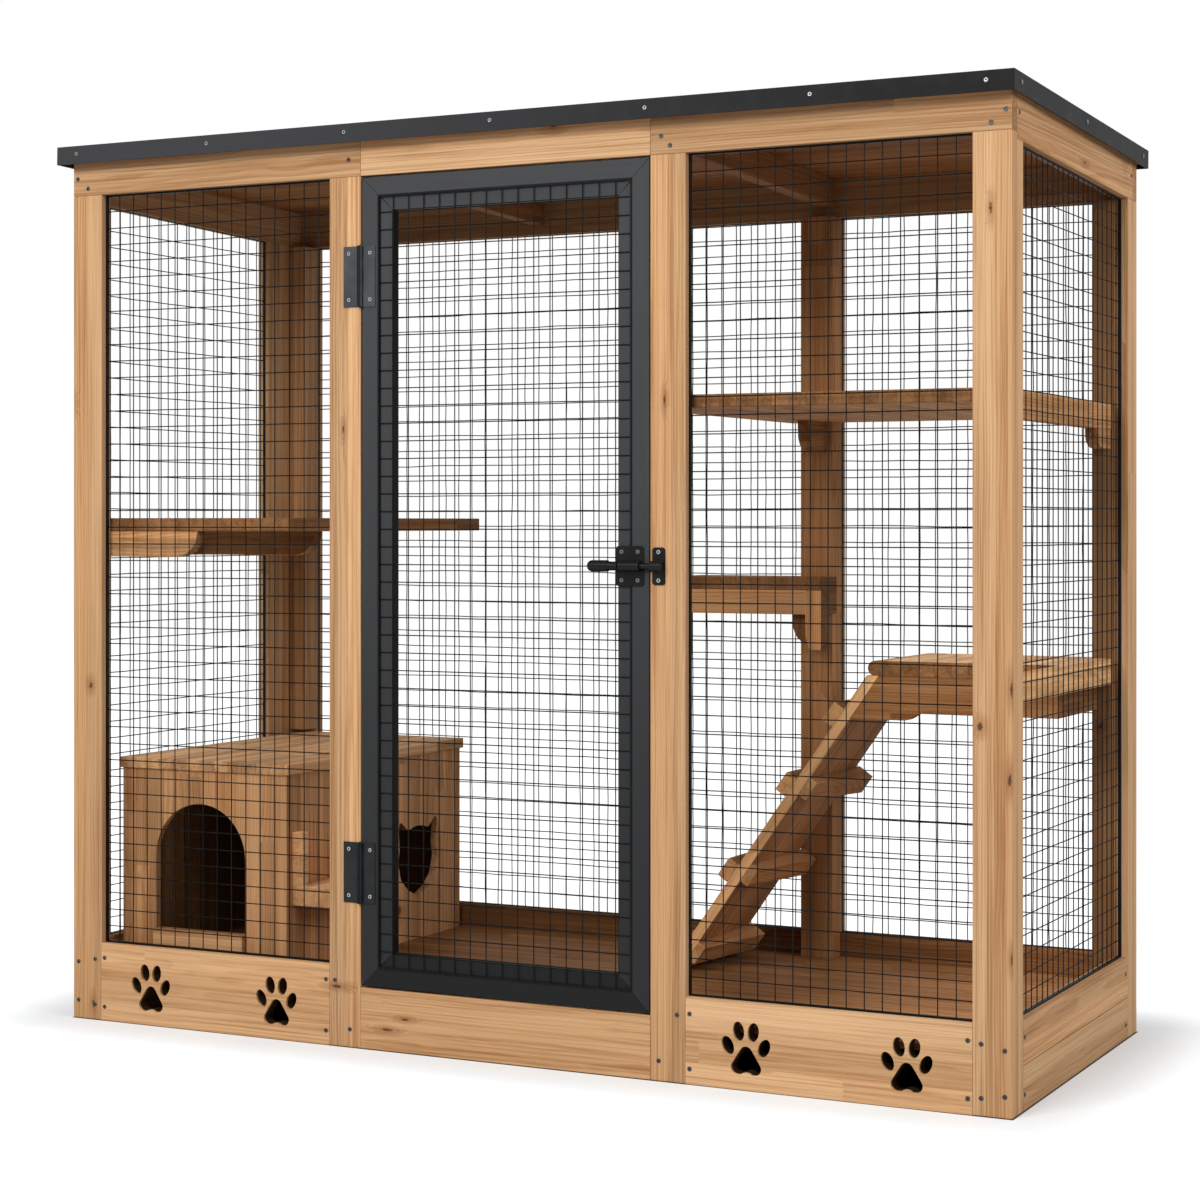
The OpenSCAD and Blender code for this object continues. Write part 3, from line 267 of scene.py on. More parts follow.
def wood(name, pale, dark, strip, joint=9.0, spread=0.22, rings=0.32, streaks=0.80, seam=0.0,
         knots=0.972, gloss=0.04, wave=0.040, mist=0.45, large=(), painted_light_ramp=None):
    """Solid wood in the board's own coordinates. strip and joint are the size of the glued blocks,
    spread is how far their tones lie apart, and a light ramp, when given, paints light onto the
    boards between two places along the run."""
    look = Look(name)
    grain = look.attribute("grain")
    board, end, tint = (look.attribute(part, "Fac") for part in ("board", "end", "tint"))
    x, y, z = grain.part(0), grain.part(1), grain.part(2)

    sway = look.noise(grain * (1.1, 3.0, 3.0) + look.vector(board * 37, 0, 0), detail=1) - 0.5
    rows = (y + sway * (0.012 if seam == 0 else 0.0)) / strip + 0.001
    row, inside = rows.math("FLOOR"), rows.math("FRACT")
    row_chance = look.node("TexWhiteNoise", {"noise_dimensions": "2D"},
                           {"Vector": look.vector(row, board * 91, 0)})
    block = (x / joint + row_chance * 7).math("FLOOR")
    chance = look.node("TexWhiteNoise", {"noise_dimensions": "3D"},
                       {"Vector": look.vector(row, block, board * 57)}, out="Color")
    first, second, third = chance.part(0), chance.part(1), chance.part(2)

    spots = grain * (8.0, 15.0, 15.0) + look.vector(board * 31, board * 17, first * 3)
    far, kind = look.cells(spots)
    pick = kind.part(0).math("GREATER_THAN", knots)
    knot = (1 - far.ramp(0.05, 0.10)) * pick
    halo = (1 - far.ramp(0.06, 0.36)) * pick
    rag = look.noise(look.place() * 260.0) - 0.5
    for point, size, stretch in large:
        gone = look.node("VectorMath", {"operation": "LENGTH"},
                         {0: (look.place() - point) * stretch}, out="Value") + rag * size * 2.0
        knot = knot.math("MAXIMUM", 1 - gone.ramp(size * 0.55, size * 1.3))
        halo = halo.math("MAXIMUM", 1 - gone.ramp(size, size * 5))

    astray = look.vector(first * 20, second * 20, third * 20)
    bend = look.noise(grain * (1.5, 4.0, 4.0) + astray)
    ripple = look.noise(grain * (7.0, 30.0, 30.0) + look.vector(second * 9, first * 9, 0))
    across = (inside - 0.5) * strip + (first - 0.5) * 0.13
    depth = z + 0.03 + second * 0.09 + (bend - 0.5) * wave + (ripple - 0.5) * 0.004 + halo * 0.009
    radius = (across * across + depth * depth).math("SQRT")
    ring = (radius / RING_GAP).math("FRACT")
    late = ring.ramp(0.25, 0.85) * (1 - ring.ramp(0.88, 1.0))

    shift = look.vector(first * 40, second * 40, 0)
    broad = look.noise(grain * (1.0, 42.0, 42.0) + shift).ramp(0.32, 0.70)
    streak = look.noise(grain * (2.6, 190.0, 190.0) + shift, detail=3, rough=0.6).ramp(0.36, 0.74)
    fibre = look.noise(grain * (14.0, 700.0, 700.0), detail=1)
    cloud = look.noise(grain * (2.3, 9.0, 9.0) + look.vector(0, 0, board * 23))

    shade = late * rings + broad * streaks * 0.52 + streak * streaks * 0.60 + (cloud - 0.5) * mist
    shade = shade + (fibre - 0.5) * 0.22
    colour = look.blend(pale, dark, (shade * 1.15 - 0.12).ramp(-0.15, 1.10))
    colour = colour * (1 + (third - 0.5) * spread + (board - 0.5) * spread * 0.6)
    for tone_and_light_cast, share in (((1.05, 0.95, 0.84), first * 0.8), ((0.60, 0.46, 0.36), halo * 0.60)):
        colour = look.blend(colour, colour * tone_and_light_cast, share)
    colour = look.blend(colour, KNOT, knot * 0.84)
    colour = look.blend(colour, colour * (0.62, 0.56, 0.50), end * 0.75)
    # Painted light and shade: below 1 the wood is darkened and warmed as in shade, above 1 lightened
    # and paled as in light.
    painted_shade = (1 - tint).math("MAXIMUM", 0.0)
    painted_light = (tint - 1).math("MAXIMUM", 0.0)
    tone_and_light_cast = look.vector(1.0, 1 - painted_shade * 0.12 + painted_light * 0.18, 1 - painted_shade * 0.28 + painted_light * 0.36)
    colour = colour * tint * tone_and_light_cast
    # Painted light: the boards get lighter between two places along X.
    if painted_light_ramp:
        colour = colour * (look.place().part(0).ramp(painted_light_ramp[0], painted_light_ramp[1]) * painted_light_ramp[2] + 0.88)
    if seam:
        edge = (inside - 0.5).math("ABSOLUTE").ramp(0.5 - SEAM_WIDTH / strip, 0.5)
        colour = colour * (1 - edge * seam)
    rough = 0.62 + late * 0.08 + end * 0.12 - knot * 0.1
    height = late * 0.25 + fibre * 0.5 + streak * 0.25 - knot * 0.6
    return look.finish(colour, rough, height, 0.0006, 0.5, gloss)


HONEY = {"pale": (0.76, 0.480, 0.262), "dark": (0.420, 0.205, 0.084), "gloss": 0.10,
         "large": LARGE_KNOTS}
BROWN = {"pale": (0.48, 0.248, 0.110), "dark": (0.250, 0.108, 0.038), "strip": 0.040,
         "joint": 0.9, "spread": 0.34}
GLUED = {"strip": 0.034, "knots": 0.985}
honey = wood("Honey softwood", **HONEY, strip=0.041, rings=0.24, streaks=0.84, wave=0.016,
             mist=0.30)
planks = wood("Honey planks", **HONEY, strip=0.090, spread=0.10, rings=0.22, streaks=0.72,
              wave=0.012, mist=0.22)
brown = wood("Brown softwood", **BROWN)
painted_lit_boards = wood("Brown boards", **BROWN, painted_light_ramp=(0.40, 0.90, 0.75))
panel = wood("Brown panel strips", (0.50, 0.268, 0.128), (0.280, 0.128, 0.049), **GLUED, joint=1.2,
             spread=0.36, seam=0.40)
blocks = wood("Glued shelf blocks", (0.46, 0.250, 0.120), (0.235, 0.106, 0.041), **GLUED,
              joint=0.35, spread=0.50, seam=0.5)
print("woods:", *(m.name for m in (honey, planks, brown, painted_lit_boards, panel, blocks)), sep=" | ")

# %% [markdown]
# ## Turning a packed board into a real one
# A sawn board isn't a sharp box: its long edges are eased by a millimetre or two, and that thin
# bright line is what makes two touching boards read as two boards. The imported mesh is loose
# triangles with screw holes in it. A copy is merged, its holes are closed because the screw heads
# cover them, flat triangles are joined into clean faces, and the sharp outer edges are bevelled.


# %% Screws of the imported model, as lines
WELD, HEAD_SINK = 0.00002, 0.0014


def islands(mesh):
    """Groups of connected vertices of a bmesh."""
    left, groups = set(mesh.verts), []
    while left:
        group, todo = set(), [left.pop()]
        while todo:
            vertex = todo.pop()
            group.add(vertex)
            for edge in vertex.link_edges:
                other = edge.other_vert(vertex)
                if other in left:
                    left.remove(other)
                    todo.append(other)
        groups.append(group)
    return groups


def merged(name):
    """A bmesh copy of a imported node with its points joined."""
    mesh = bmesh.new()
    mesh.from_mesh(nodes[name].data)
    bmesh.ops.remove_doubles(mesh, verts=mesh.verts[:], dist=WELD)
    return mesh


def screw_lines(name):
    """Seat, outward direction and length of each screw in a node."""
    mesh, found = merged(name), []
    for group in islands(mesh):
        points = np.array([v.co for v in group])
        middle = points.mean(0)
        _, _, axes = np.linalg.svd(points - middle)
        along = (points - middle) @ axes[0]
        off = np.linalg.norm(points - middle - np.outer(along, axes[0]), axis=1)
        out = axes[0] * (1 if along[off.argmax()] > 0 else -1)
        along = (points - middle) @ out
        seat = middle + out * (along.max() - HEAD_SINK)
        found.append((Vector(seat), Vector(out).normalized(), along.max() - along.min()))
    mesh.free()
    return sorted(found, key=lambda row: tuple(round(c, 4) for c in row[0]))


screws = {name: screw_lines(name) for name in ("frame_screws", "door_screws")}
all_screws = [row for rows in screws.values() for row in rows]
print({name: len(rows) for name, rows in screws.items()}, "screws")


# %% Closing holes and easing edges
HOLE_RADIUS, HOLE_DEEPER, HOLE_PROUD = 0.0019, 0.001, 0.003
FLAT, SHARP = math.radians(0.4), math.radians(28)
SHORT_EDGE, SHORT_BEVEL = 0.009, 0.0009


def close_holes(mesh):
    """Removes the walls of the screw holes and covers their mouths."""
    walls = set()
    for seat, out, length in all_screws:
        for vertex in mesh.verts:
            step = vertex.co - seat
            along = step.dot(out)
            if (-length - HOLE_DEEPER < along < HOLE_PROUD
                    and (step - out * along).length < HOLE_RADIUS):
                walls.add(vertex)
    if walls:
        faces = [f for f in mesh.faces if all(v in walls for v in f.verts)]
        bmesh.ops.delete(mesh, geom=faces, context="FACES")
        rims = [e for e in mesh.edges if e.is_boundary]
        bmesh.ops.holes_fill(mesh, edges=rims, sides=0)


def cleaned(name):
    """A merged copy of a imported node, without screw holes and with clean flat faces."""
    mesh = merged(name)
    close_holes(mesh)
    bmesh.ops.dissolve_limit(mesh, angle_limit=FLAT, verts=mesh.verts[:], edges=mesh.edges[:],
                             use_dissolve_boundaries=False)
    return mesh


def bevel(mesh, edges, width, profile):
    """Rounds edges in two steps, and gives the faces that this makes."""
    return bmesh.ops.bevel(mesh, geom=edges, offset=width, offset_type="OFFSET", segments=2,
                           profile=profile, affect="EDGES", clamp_overlap=True)["faces"]


def ease(mesh, size):
    """Bevels the sharp outer edges, with a smaller bevel on short ones such as a cut-out's."""
    for low, high, width in ((SHORT_EDGE, math.inf, size), (0, SHORT_EDGE, SHORT_BEVEL)):
        edges = [e for e in mesh.edges if e.is_manifold and not e.tag
                 and e.calc_face_angle_signed(0) > SHARP and low < e.calc_length() <= high]
        if edges:
            for face in bevel(mesh, edges, width, 0.6):
                for edge in face.edges:
                    edge.tag = True


# %% Grain coordinates
AXES = {"X": Vector((1, 0, 0)), "Y": Vector((0, 1, 0)), "Z": Vector((0, 0, 1))}
WOOD_SEED, FAR = 20, 9


def rule(along, wide, light=1.0, **ends):
    """How the fibres and the width of a board run, and the brightness painted on it, in what lies
    between its ends: x0, x1, y0, y1, z0 and z1, where one that isn't given stays open. The
    brightness paints light and shade, and for glued strips their own tone."""
    low, high = (tuple(ends.get(axis + end, reach) for axis in "xyz")
                 for end, reach in (("0", -FAR), ("1", FAR)))
    return low, high, along, wide, light


def cut(axis, place):
    """A plane across an axis, which puts edges on the border of two rules."""
    return AXES[axis] * place, AXES[axis]


def grain_frame(faces, along, wide):
    """Directions along the fibres, across the board and through it, for one board."""
    points = [v.co for f in faces for v in f.verts]
    low = Vector([min(p[i] for p in points) for i in range(3)])
    high = Vector([max(p[i] for p in points) for i in range(3)])
    order = sorted("XYZ", key=lambda a: -(high - low).dot(AXES[a]))
    first = AXES[along] if isinstance(along, str) else (along or AXES[order[0]])
    rest = [AXES[a] for a in order if abs(AXES[a].dot(first)) < 0.9]
    second = AXES[wide] if isinstance(wide, str) else (wide or rest[0])
    second = (second - first * second.dot(first)).normalized()
    third = first.cross(second)
    foot = min(p.dot(second) for p in points)
    level = (min(p.dot(third) for p in points) + max(p.dot(third) for p in points)) / 2
    return first, second, third, foot, level


def set_grain(mesh, chance, rules, tint):
    """Writes the grain, board and end attributes on every face corner, and one that holds each
    face's tone and painted light and shade.
    """
    layers = mesh.loops.layers
    grain = layers.float_vector.new("grain")
    board, ended, tone_and_light_layer = [layers.float.new(name) for name in ("board", "end", "tint")]
    groups = islands(mesh)
    groups.sort(key=lambda g: tuple(round(sum(v.co[i] for v in g) / len(g), 3) for i in range(3)))
    for group in groups:
        faces = {f for v in group for f in v.link_faces}
        boards = {}
        for face in faces:
            middle = face.calc_center_median()
            key = next((i for i, (low, high, *_) in enumerate(rules)
                        if all(a <= c <= b for a, c, b in zip(low, middle, high))), -1)
            boards.setdefault(key, []).append(face)
        for key in sorted(boards):
            along, wide, light = rules[key][2:] if key >= 0 else (None, None, 1.0)
            first, second, third, foot, level = grain_frame(boards[key], along, wide)
            tone, shift = chance.random(), chance.uniform(0, 9)
            for face in boards[key]:
                sawn = 1.0 if abs(face.normal.dot(first)) > 0.8 else 0.0
                for loop in face.loops:
                    p = loop.vert.co
                    loop[grain] = (p.dot(first) + shift, p.dot(second) - foot, p.dot(third) - level)
                    loop[board], loop[ended], loop[tone_and_light_layer] = tone, sawn, tint * light


# %% From a bmesh to a finished piece
def finished(mesh, node, ending, material, smooth=40):
    """A plain mesh object from a bmesh, which rides on its node's body and stands for the node."""
    name = node + ending
    data = bpy.data.meshes.new(name)
    mesh.to_mesh(data)
    mesh.free()
    for polygon in data.polygons:
        polygon.use_smooth = True
    data.set_sharp_from_angle(angle=math.radians(smooth))
    data.materials.append(material)
    piece = placed(name, data)
    weigh = piece.modifiers.new("Weighted Normal", "WEIGHTED_NORMAL")
    weigh.keep_sharp = True
    view = bpy.context.evaluated_depsgraph_get()
    piece.data = bpy.data.meshes.new_from_object(
        piece.evaluated_get(view), preserve_all_data_layers=True, depsgraph=view)
    piece.modifiers.clear()
    piece.data.name = name
    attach(piece, body_of[node])
    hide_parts(node)
    return piece


def timber(name, material, size=0.0018, rules=(), cuts=(), tint=1.0):
    """A packed wooden node as real boards. Its last number makes the wood lighter or darker, as
    painted light and shade and, for a few pieces, their own tone.
    """
    mesh = cleaned(name)
    ease(mesh, size)
    for point, normal in cuts:
        bmesh.ops.bisect_plane(mesh, geom=mesh.verts[:] + mesh.edges[:] + mesh.faces[:],
                               plane_co=point, plane_no=normal, dist=0.00001)
    bmesh.ops.recalc_face_normals(mesh, faces=mesh.faces[:])
    chance = random.Random(WOOD_SEED + sum(ord(c) * i for i, c in enumerate(name)))
    set_grain(mesh, chance, rules, tint)
    return finished(mesh, name, "_boards", material)


# %% [markdown]
# ## The outer frame
# Posts stand at the corners and beside the door, rails close the top, and wide boards close the
# foot. They are one honey colour, planed and oiled, and their screws are driven from outside.

# %% Posts, rails and skirts
# Painted light and shade: each piece's number lightens or darkens it, the rails under the roof trim
# most.
OUTER = {"front_corner_posts": 0.83, "hinge_post": 0.92, "latch_post": 0.92,
         "front_rail_left": 0.80, "front_header": 1.01, "front_rail_right": 0.78,
         "front_skirt_left": 0.93, "front_skirt_right": 0.97, "door_sill": 0.90,
         "side_stiles": 0.92, "side_rails": 0.84, "side_skirts": 0.92, "rear_corner_posts": 0.92,
         "rear_rail": 0.92}
SKIRTS = ["front_skirt_left", "front_skirt_right"]
PLANKS = [*SKIRTS, "door_sill", "side_skirts"]
SKIN = 0.001
skirt_low, skirt_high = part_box(SKIRTS[0])
bite = skirt_low.y + 0.006
in_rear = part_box("rear_rail")[0].y + SKIN


def strips(levels, lights, along):
    """Rules and cuts that make glued strips, each with its own tone, between these heights."""
    edges = [-FAR, *levels, FAR]
    return ([rule(along, "Z", light, z0=low, z1=high)
             for low, high, light in zip(edges, edges[1:], lights)],
            [cut("Z", level) for level in levels])


front_rules, front_cuts = strips([0.040, 0.080, 0.119], [1.06, 0.92, 0.99, 1.08], "X")
side_rules, side_cuts = strips([0.040, 0.079, 0.118], [0.80, 1.0, 1.04, 0.86], "Y")
# Painted shade: the back of the front skirts, seen through the paw cut-outs, is painted almost
# black.
paw_painted_shade = rule("Y", "X", 0.07, y0=bite, y1=skirt_high.y - SKIN, z0=skirt_low.z + 0.01,
                   z1=skirt_high.z - 0.01)
# Painted shade on the inner faces of the rear posts and the rear rail.
outer_rules = {"rear_corner_posts": [rule("Z", "X", 0.40, x0=0, y1=in_rear),
                                     rule("Z", "X", 0.72, x1=0, y1=in_rear)],
               "rear_rail": [rule("X", "Z", 0.62, y1=in_rear)], "side_skirts": side_rules,
               **{name: [paw_painted_shade, *front_rules] for name in SKIRTS}}
outer_cuts = {"side_skirts": side_cuts,
              **{name: [cut("Y", bite), *front_cuts] for name in SKIRTS}}
outer = [timber(name, planks if name in PLANKS else honey, tint=tint,
                rules=outer_rules.get(name, ()), cuts=outer_cuts.get(name, ()))
         for name, tint in OUTER.items()]
print(len(outer), "outer pieces,", sum(len(p.data.polygons) for p in outer), "faces")

# %% [markdown]
# ## Roof, floor and inner timber
# What stands inside is the same wood, browner partly from stain and partly from painted shade.
# The roof boards and rafters are seen from below through the mesh, and the floor boards from
# above. The floor is painted lighter to the right, with painted shadow along its front strip.

# %% Rafters, roof boards, floor and inner posts
# Painted shade: each inner piece's number darkens it, most the rear skirts, and the floor's front
# strip behind the skirt is painted in shadow; the rear skirts' back face is painted lighter.
INNER = {"rear_middle_post": 1.0, "rear_skirts": 0.44, "rafters": 0.85, "roof_boards": 0.95,
         "floor_boards": 0.80, "floor_bearers": 0.6, "corner_blocks": 0.6}
PAINTED_LIT = ("floor_boards", "rear_skirts")
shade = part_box("floor_boards")[0].y + 0.045
inner_rules = {"floor_boards": [rule("X", "Y", 0.42, y1=shade)],
               "rear_skirts": [rule("X", "Z", 2.2, y0=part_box("rear_skirts")[1].y - SKIN)]}
inner_cuts = {"floor_boards": [cut("Y", shade)]}
inner = [timber(name, painted_lit_boards if name in PAINTED_LIT else brown, tint=tint,
                rules=inner_rules.get(name, ()), cuts=inner_cuts.get(name, ()))
         for name, tint in INNER.items()]
print(len(inner), "inner pieces,", sum(len(p.data.polygons) for p in inner), "faces")

# %% [markdown]
# ## The cat house
# Its walls are panels of upright strips, glued edge to edge, so the grain stands up. The lid's
# blocks run from front to rear: their sawn ends make the chequered front edge. Its rooms are dim,
# and what shows through the arch falls off into the dark in three steps.

# %% Walls, lid and step of the house
# Painted light and shade: the inner faces are dimmed, what shows through the arch darkens in steps
# towards the back, the strip is a little darker, and the front, right side, lid and step are painted
# lighter.
WALL, DIM, FALL = 0.012, 0.30, (-0.14, -0.08, -0.02)
UPRIGHT_X, UPRIGHT_Y, DEEP = rule("Z", "X"), rule("Z", "Y"), rule("Y", "X")
left, front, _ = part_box("house_front")[0]
right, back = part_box("house_right")[1].x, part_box("house_back")[1].y
steps = (-FAR, *FALL, FAR)
in_arch = [rule("Z", "Y", light, x0=left + WALL, y0=low, y1=high)
           for low, high, light in zip(steps, steps[1:], (1.0, 0.62, 0.36, 0.20))]
house = [
    timber("house_front", panel, tint=1.20,
           rules=[rule("Z", "X", DIM, y0=front + WALL), UPRIGHT_X]),
    timber("house_back", panel, rules=[rule("Z", "X", DIM, y1=back - WALL), UPRIGHT_X]),
    timber("house_left", panel, rules=[*in_arch, UPRIGHT_Y], cuts=[cut("Y", y) for y in FALL]),
    timber("house_right", panel, tint=1.4, rules=[rule("Z", "Y", DIM, x1=right - WALL), UPRIGHT_Y]),
    timber("house_floor", panel, tint=DIM),
    timber("house_lid", blocks, tint=1.90, rules=[DEEP]),
    timber("house_strip", honey, tint=0.85),
    timber("house_step", panel, tint=1.75)]
print(len(house), "pieces in the house")

# %% [markdown]
# ## Shelves, landing and ramp
# Each perch is a board of glued blocks on arms, corbels or ledgers. The arms join the ledger that
# runs along the wall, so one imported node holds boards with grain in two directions. A rule gives a
# region its own grain direction, and a cut puts an edge on the border between the two.

# %% Shelves and what carries them
LEDGER, FACE, SMALL = 0.028, 0.002, 0.0012
ledger_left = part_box("left_shelf_arms")[0].x + LEDGER
(_, upper_front, _), (upper_right, _, _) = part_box("upper_shelf_supports")
(_, middle_front, _), (middle_right, _, _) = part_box("middle_shelf_supports")
corbel_side, corbel_plate = middle_right - 0.036, middle_front + 0.0235
landing_low, landing_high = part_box("landing_board")
landing_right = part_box("landing_supports")[1].x
ledger_right, apron_end = landing_right - LEDGER, landing_right - 0.12
apron, scroll_top = landing_low.y + FACE + 0.025, landing_low.z - 0.0725
# Painted light and shade: each number lightens or darkens a region, putting shade on front edges,
# end faces and the corbels behind their plates, and painted light on the landing board, the ledgers
# and the arms.
perches = [
    timber("left_shelf", blocks, rules=[DEEP]),
    timber("left_shelf_arms", brown, SMALL, cuts=[cut("X", ledger_left)],
           rules=[rule("Y", "Z", x1=ledger_left), rule("X", "Z", 1.35, y1=-0.3),
                  rule("X", "Z", 1.4)]),
    timber("upper_shelf", blocks, tint=1.5,
           rules=[rule("Y", "X", 0.60, y1=upper_front + 0.004), DEEP]),
    timber("upper_shelf_supports", brown, SMALL,
           rules=[rule("Y", "Z", 1.3, x0=upper_right - LEDGER)]),
    timber("middle_shelf", blocks, rules=[rule("Y", "Z", 0.5, x0=middle_right - FACE), DEEP]),
    timber("middle_shelf_supports", brown, SMALL, tint=1.2, cuts=[cut("X", corbel_side)],
           rules=[rule("Y", "Z", 0.36, x0=middle_right - FACE),
                  rule("Z", "X", 1.06, x0=corbel_side, y1=corbel_plate),
                  rule("X", "Z", y1=corbel_plate), rule("Z", "X", 0.5)]),
    timber("landing_board", blocks, tint=2.4,
           rules=[rule("Y", "X", 0.47, y1=apron - 0.026),
                  rule("Y", "Z", 1.15, x0=landing_high.x - FACE), DEEP]),
    timber("landing_supports", brown, SMALL,
           cuts=[cut("X", ledger_right), cut("Y", apron), cut("Z", scroll_top),
                 cut("X", apron_end)],
           rules=[rule("Y", "Z", 2.0, x0=ledger_right),
                  rule("X", "Z", 0.80, y1=apron, z1=scroll_top),
                  rule("X", "Z", 0.85, x0=apron_end, y1=apron), rule("X", "Z", 1.02, y1=apron),
                  rule("Y", "Z", 0.58, x0=0.91), rule("X", "Z")])]
print(len(perches), "shelf pieces")

# %% The ramp and its treads
points = np.array([v.co for v in nodes["ramp_plank"].data.vertices])
height = points[:, 2]
foot = points[height < height.min() + SKIN][:, 0].min()
head = points[height > height.max() - SKIN][:, 0].min()
rise = np.ptp(height)
uphill = Vector((head - foot, 0, rise)).normalized()
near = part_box("ramp_plank")[0].y + FACE
# Painted light: the near faces of the plank and the treads are painted much lighter, and both pieces
# a little lighter overall.
ramp = [timber("ramp_plank", brown, tint=1.1,
               rules=[rule(uphill, "Y", 1.75, y1=near), rule(uphill, "Y")]),
        timber("ramp_treads", brown, tint=1.1,
               rules=[rule("Y", uphill, 1.8, y1=near), rule("Y", uphill)])]
climb = round(math.degrees(math.atan2(rise, head - foot)), 1)
print(len(ramp), "ramp pieces, climbing at", climb, "degrees")

# %% [markdown]
# ## The charcoal door
# The door is the same softwood under charcoal paint. Paint fills the fine fibres, but the broad
# grain still shows as soft ridges, so the paint keeps the wood's height and loses its colour. It
# gets less light towards the foot, and hardly any on the inner sides of the opening.


# %% Door paint
def painted_wood(name, colour):
    look = Look(name)
    grain = look.attribute("grain")
    board, tint = (look.attribute(part, "Fac") for part in ("board", "tint"))
    broad = look.noise(grain * (2.2, 70.0, 70.0) + look.vector(board * 13, 0, 0), 3, 0.6)
    fine = look.noise(grain * (10.0, 420.0, 420.0))
    cloud = look.noise(grain * (3.0, 9.0, 9.0))
    tone = (broad - 0.5) * 0.35 + (fine - 0.5) * 0.2 + (cloud - 0.5) * 0.35
    mixed = look.blend(colour, tuple(c * 1.9 for c in colour), (tone + 0.12).ramp(0.0, 0.9))
    # Painted shade: the paint is darker towards the foot.
    mixed = mixed * tint * (look.place().part(2).ramp(0.20, 1.50) * 0.55 + 0.58)
    height = broad * 0.7 + fine * 0.3
    return look.finish(mixed, 0.55 + (cloud - 0.5) * 0.18, height, 0.0007, 0.6, 0.08)


# Painted shade: the inner sides of the opening and the bottom rail are darkened.
MEMBER, REACH, SHADED = 0.066, 0.002, 0.10
charcoal = painted_wood("Charcoal painted timber", (0.046, 0.047, 0.049))
low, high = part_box("door_stiles")
inner_x = [rule("Z", "X", SHADED, x0=x - REACH, x1=x + REACH)
           for x in (low.x + MEMBER, high.x - MEMBER)]
inner_z = [rule("X", "Z", SHADED, z0=z - REACH, z1=z + REACH)
           for z in (low.z + MEMBER, high.z - MEMBER)]
low_rail = rule("X", "Z", 0.52, z1=low.z + MEMBER)
door = [timber("door_stiles", charcoal, 0.0016, inner_x),
        timber("door_rails", charcoal, 0.0016, [*inner_z, low_rail])]
print(len(door), "door pieces")

# %% [markdown]
# ## Welded wire mesh
# The mesh is black wire welded in 34 mm squares: upright wires in one layer, level wires in the
# other, and a flat strip round the edge. Rolled mesh is never quite flat or square, and that
# slight wander is what the eye reads as wire. A Geometry Nodes tree draws any panel from its
# width, its heights at both ends and its pitch, because the seven panels differ in nothing else.


# %% The tree that draws a panel
def new_tree(name, **inputs):
    """A geometry tree with these inputs: a maker for its nodes, and the inputs' fields."""
    tree = bpy.data.node_groups.new(name, "GeometryNodeTree")
    for label, kind in inputs.items():
        tree.interface.new_socket(label, in_out="INPUT", socket_type="NodeSocket" + kind)
    tree.interface.new_socket("Geometry", in_out="OUTPUT", socket_type="NodeSocketGeometry")
    maker = Maker(tree)
    sockets = tree.nodes.new("NodeGroupInput").outputs
    return maker, [Field(maker, sockets[label]) for label in inputs]


def close_tree(maker, made, finish):
    """Gives what was made its material and sends it out of the tree."""
    made = maker.geometry("SetMaterial", Geometry=made, Material=finish)
    maker.put(maker.tree.nodes.new("NodeGroupOutput").inputs[0], made)
    return maker.tree


def panel_tree():
    maker, (width, foot, left_top, right_top, pitch, wire, wander, seed, finish) = new_tree(
        "Wire panel", Width="Float", Foot="Float", Left="Float", Right="Float", Pitch="Float",
        Wire="Float", Wander="Float", Seed="Float", Finish="Material")
    vector = maker.vector
    low = left_top.math("MINIMUM", right_top)
    columns = (width / pitch).math("ROUND")
    rows = ((low - foot) / pitch).math("ROUND")
    step_x, step_z = width / columns, (low - foot) / rows
    profile = maker.geometry("CurvePrimitiveCircle", Resolution=5, Radius=wire)
    place = maker.node("GeometryNodeInputPosition")

    def wires(count, step, far_end, scale, pieces, frequency, sway, push, offset):
        """count wires, spaced by step, each a unit line stretched by scale and then wandering."""
        line = maker.geometry("MeshLine", Count=count, Start_Location=offset, Offset=step)
        unit = maker.geometry("CurvePrimitiveLine", Start=(0, 0, 0), End=far_end)
        unit = maker.geometry("ResampleCurve", Curve=unit, Count=pieces)
        many = maker.geometry("InstanceOnPoints", Points=line, Instance=unit, Scale=scale)
        many = maker.geometry("RealizeInstances", Geometry=many)
        noisy = maker.node("TexNoise", {"noise_dimensions": "4D"},
                           {"Vector": place * frequency, "W": seed, "Scale": 1.0, "Detail": 1.0},
                           out="Color")
        move = (noisy - (0.5, 0.5, 0.5)) * wander * 2
        many = maker.geometry("SetPosition", Geometry=many, Offset=move * sway + push * wire)
        return maker.geometry("CurveToMesh", Curve=many, Profile_Curve=profile, Fill_Caps=True)

    top_here = left_top + place.part(0) * ((right_top - left_top) / width) - foot
    upright = wires(columns - 1, vector(step_x, 0, 0), (0, 0, 1), vector(1, 1, top_here),
                    rows * 2 + 1, (61.0, 3.0, 9.0), (1, 0.3, 0), vector(0, -1, 0),
                    vector(step_x, 0, foot))
    level = wires(rows - 1, vector(0, 0, step_z), (1, 0, 0), vector(width, 1, 1),
                  columns * 2 + 1, (9.0, 3.0, 57.0), (0, 0.3, 1), vector(0, 1, 0),
                  vector(0, 0, foot + step_z))
    both = maker.node("GeometryNodeJoinGeometry")
    for field in (upright, level):
        maker.put(both.socket.node.inputs[0], field)
    solid = maker.geometry("RealizeInstances", Geometry=both)
    return close_tree(maker, maker.geometry("SetShadeSmooth", Geometry=solid), finish)


wire_panel = panel_tree()
print("the panel tree has", len(wire_panel.nodes), "nodes")


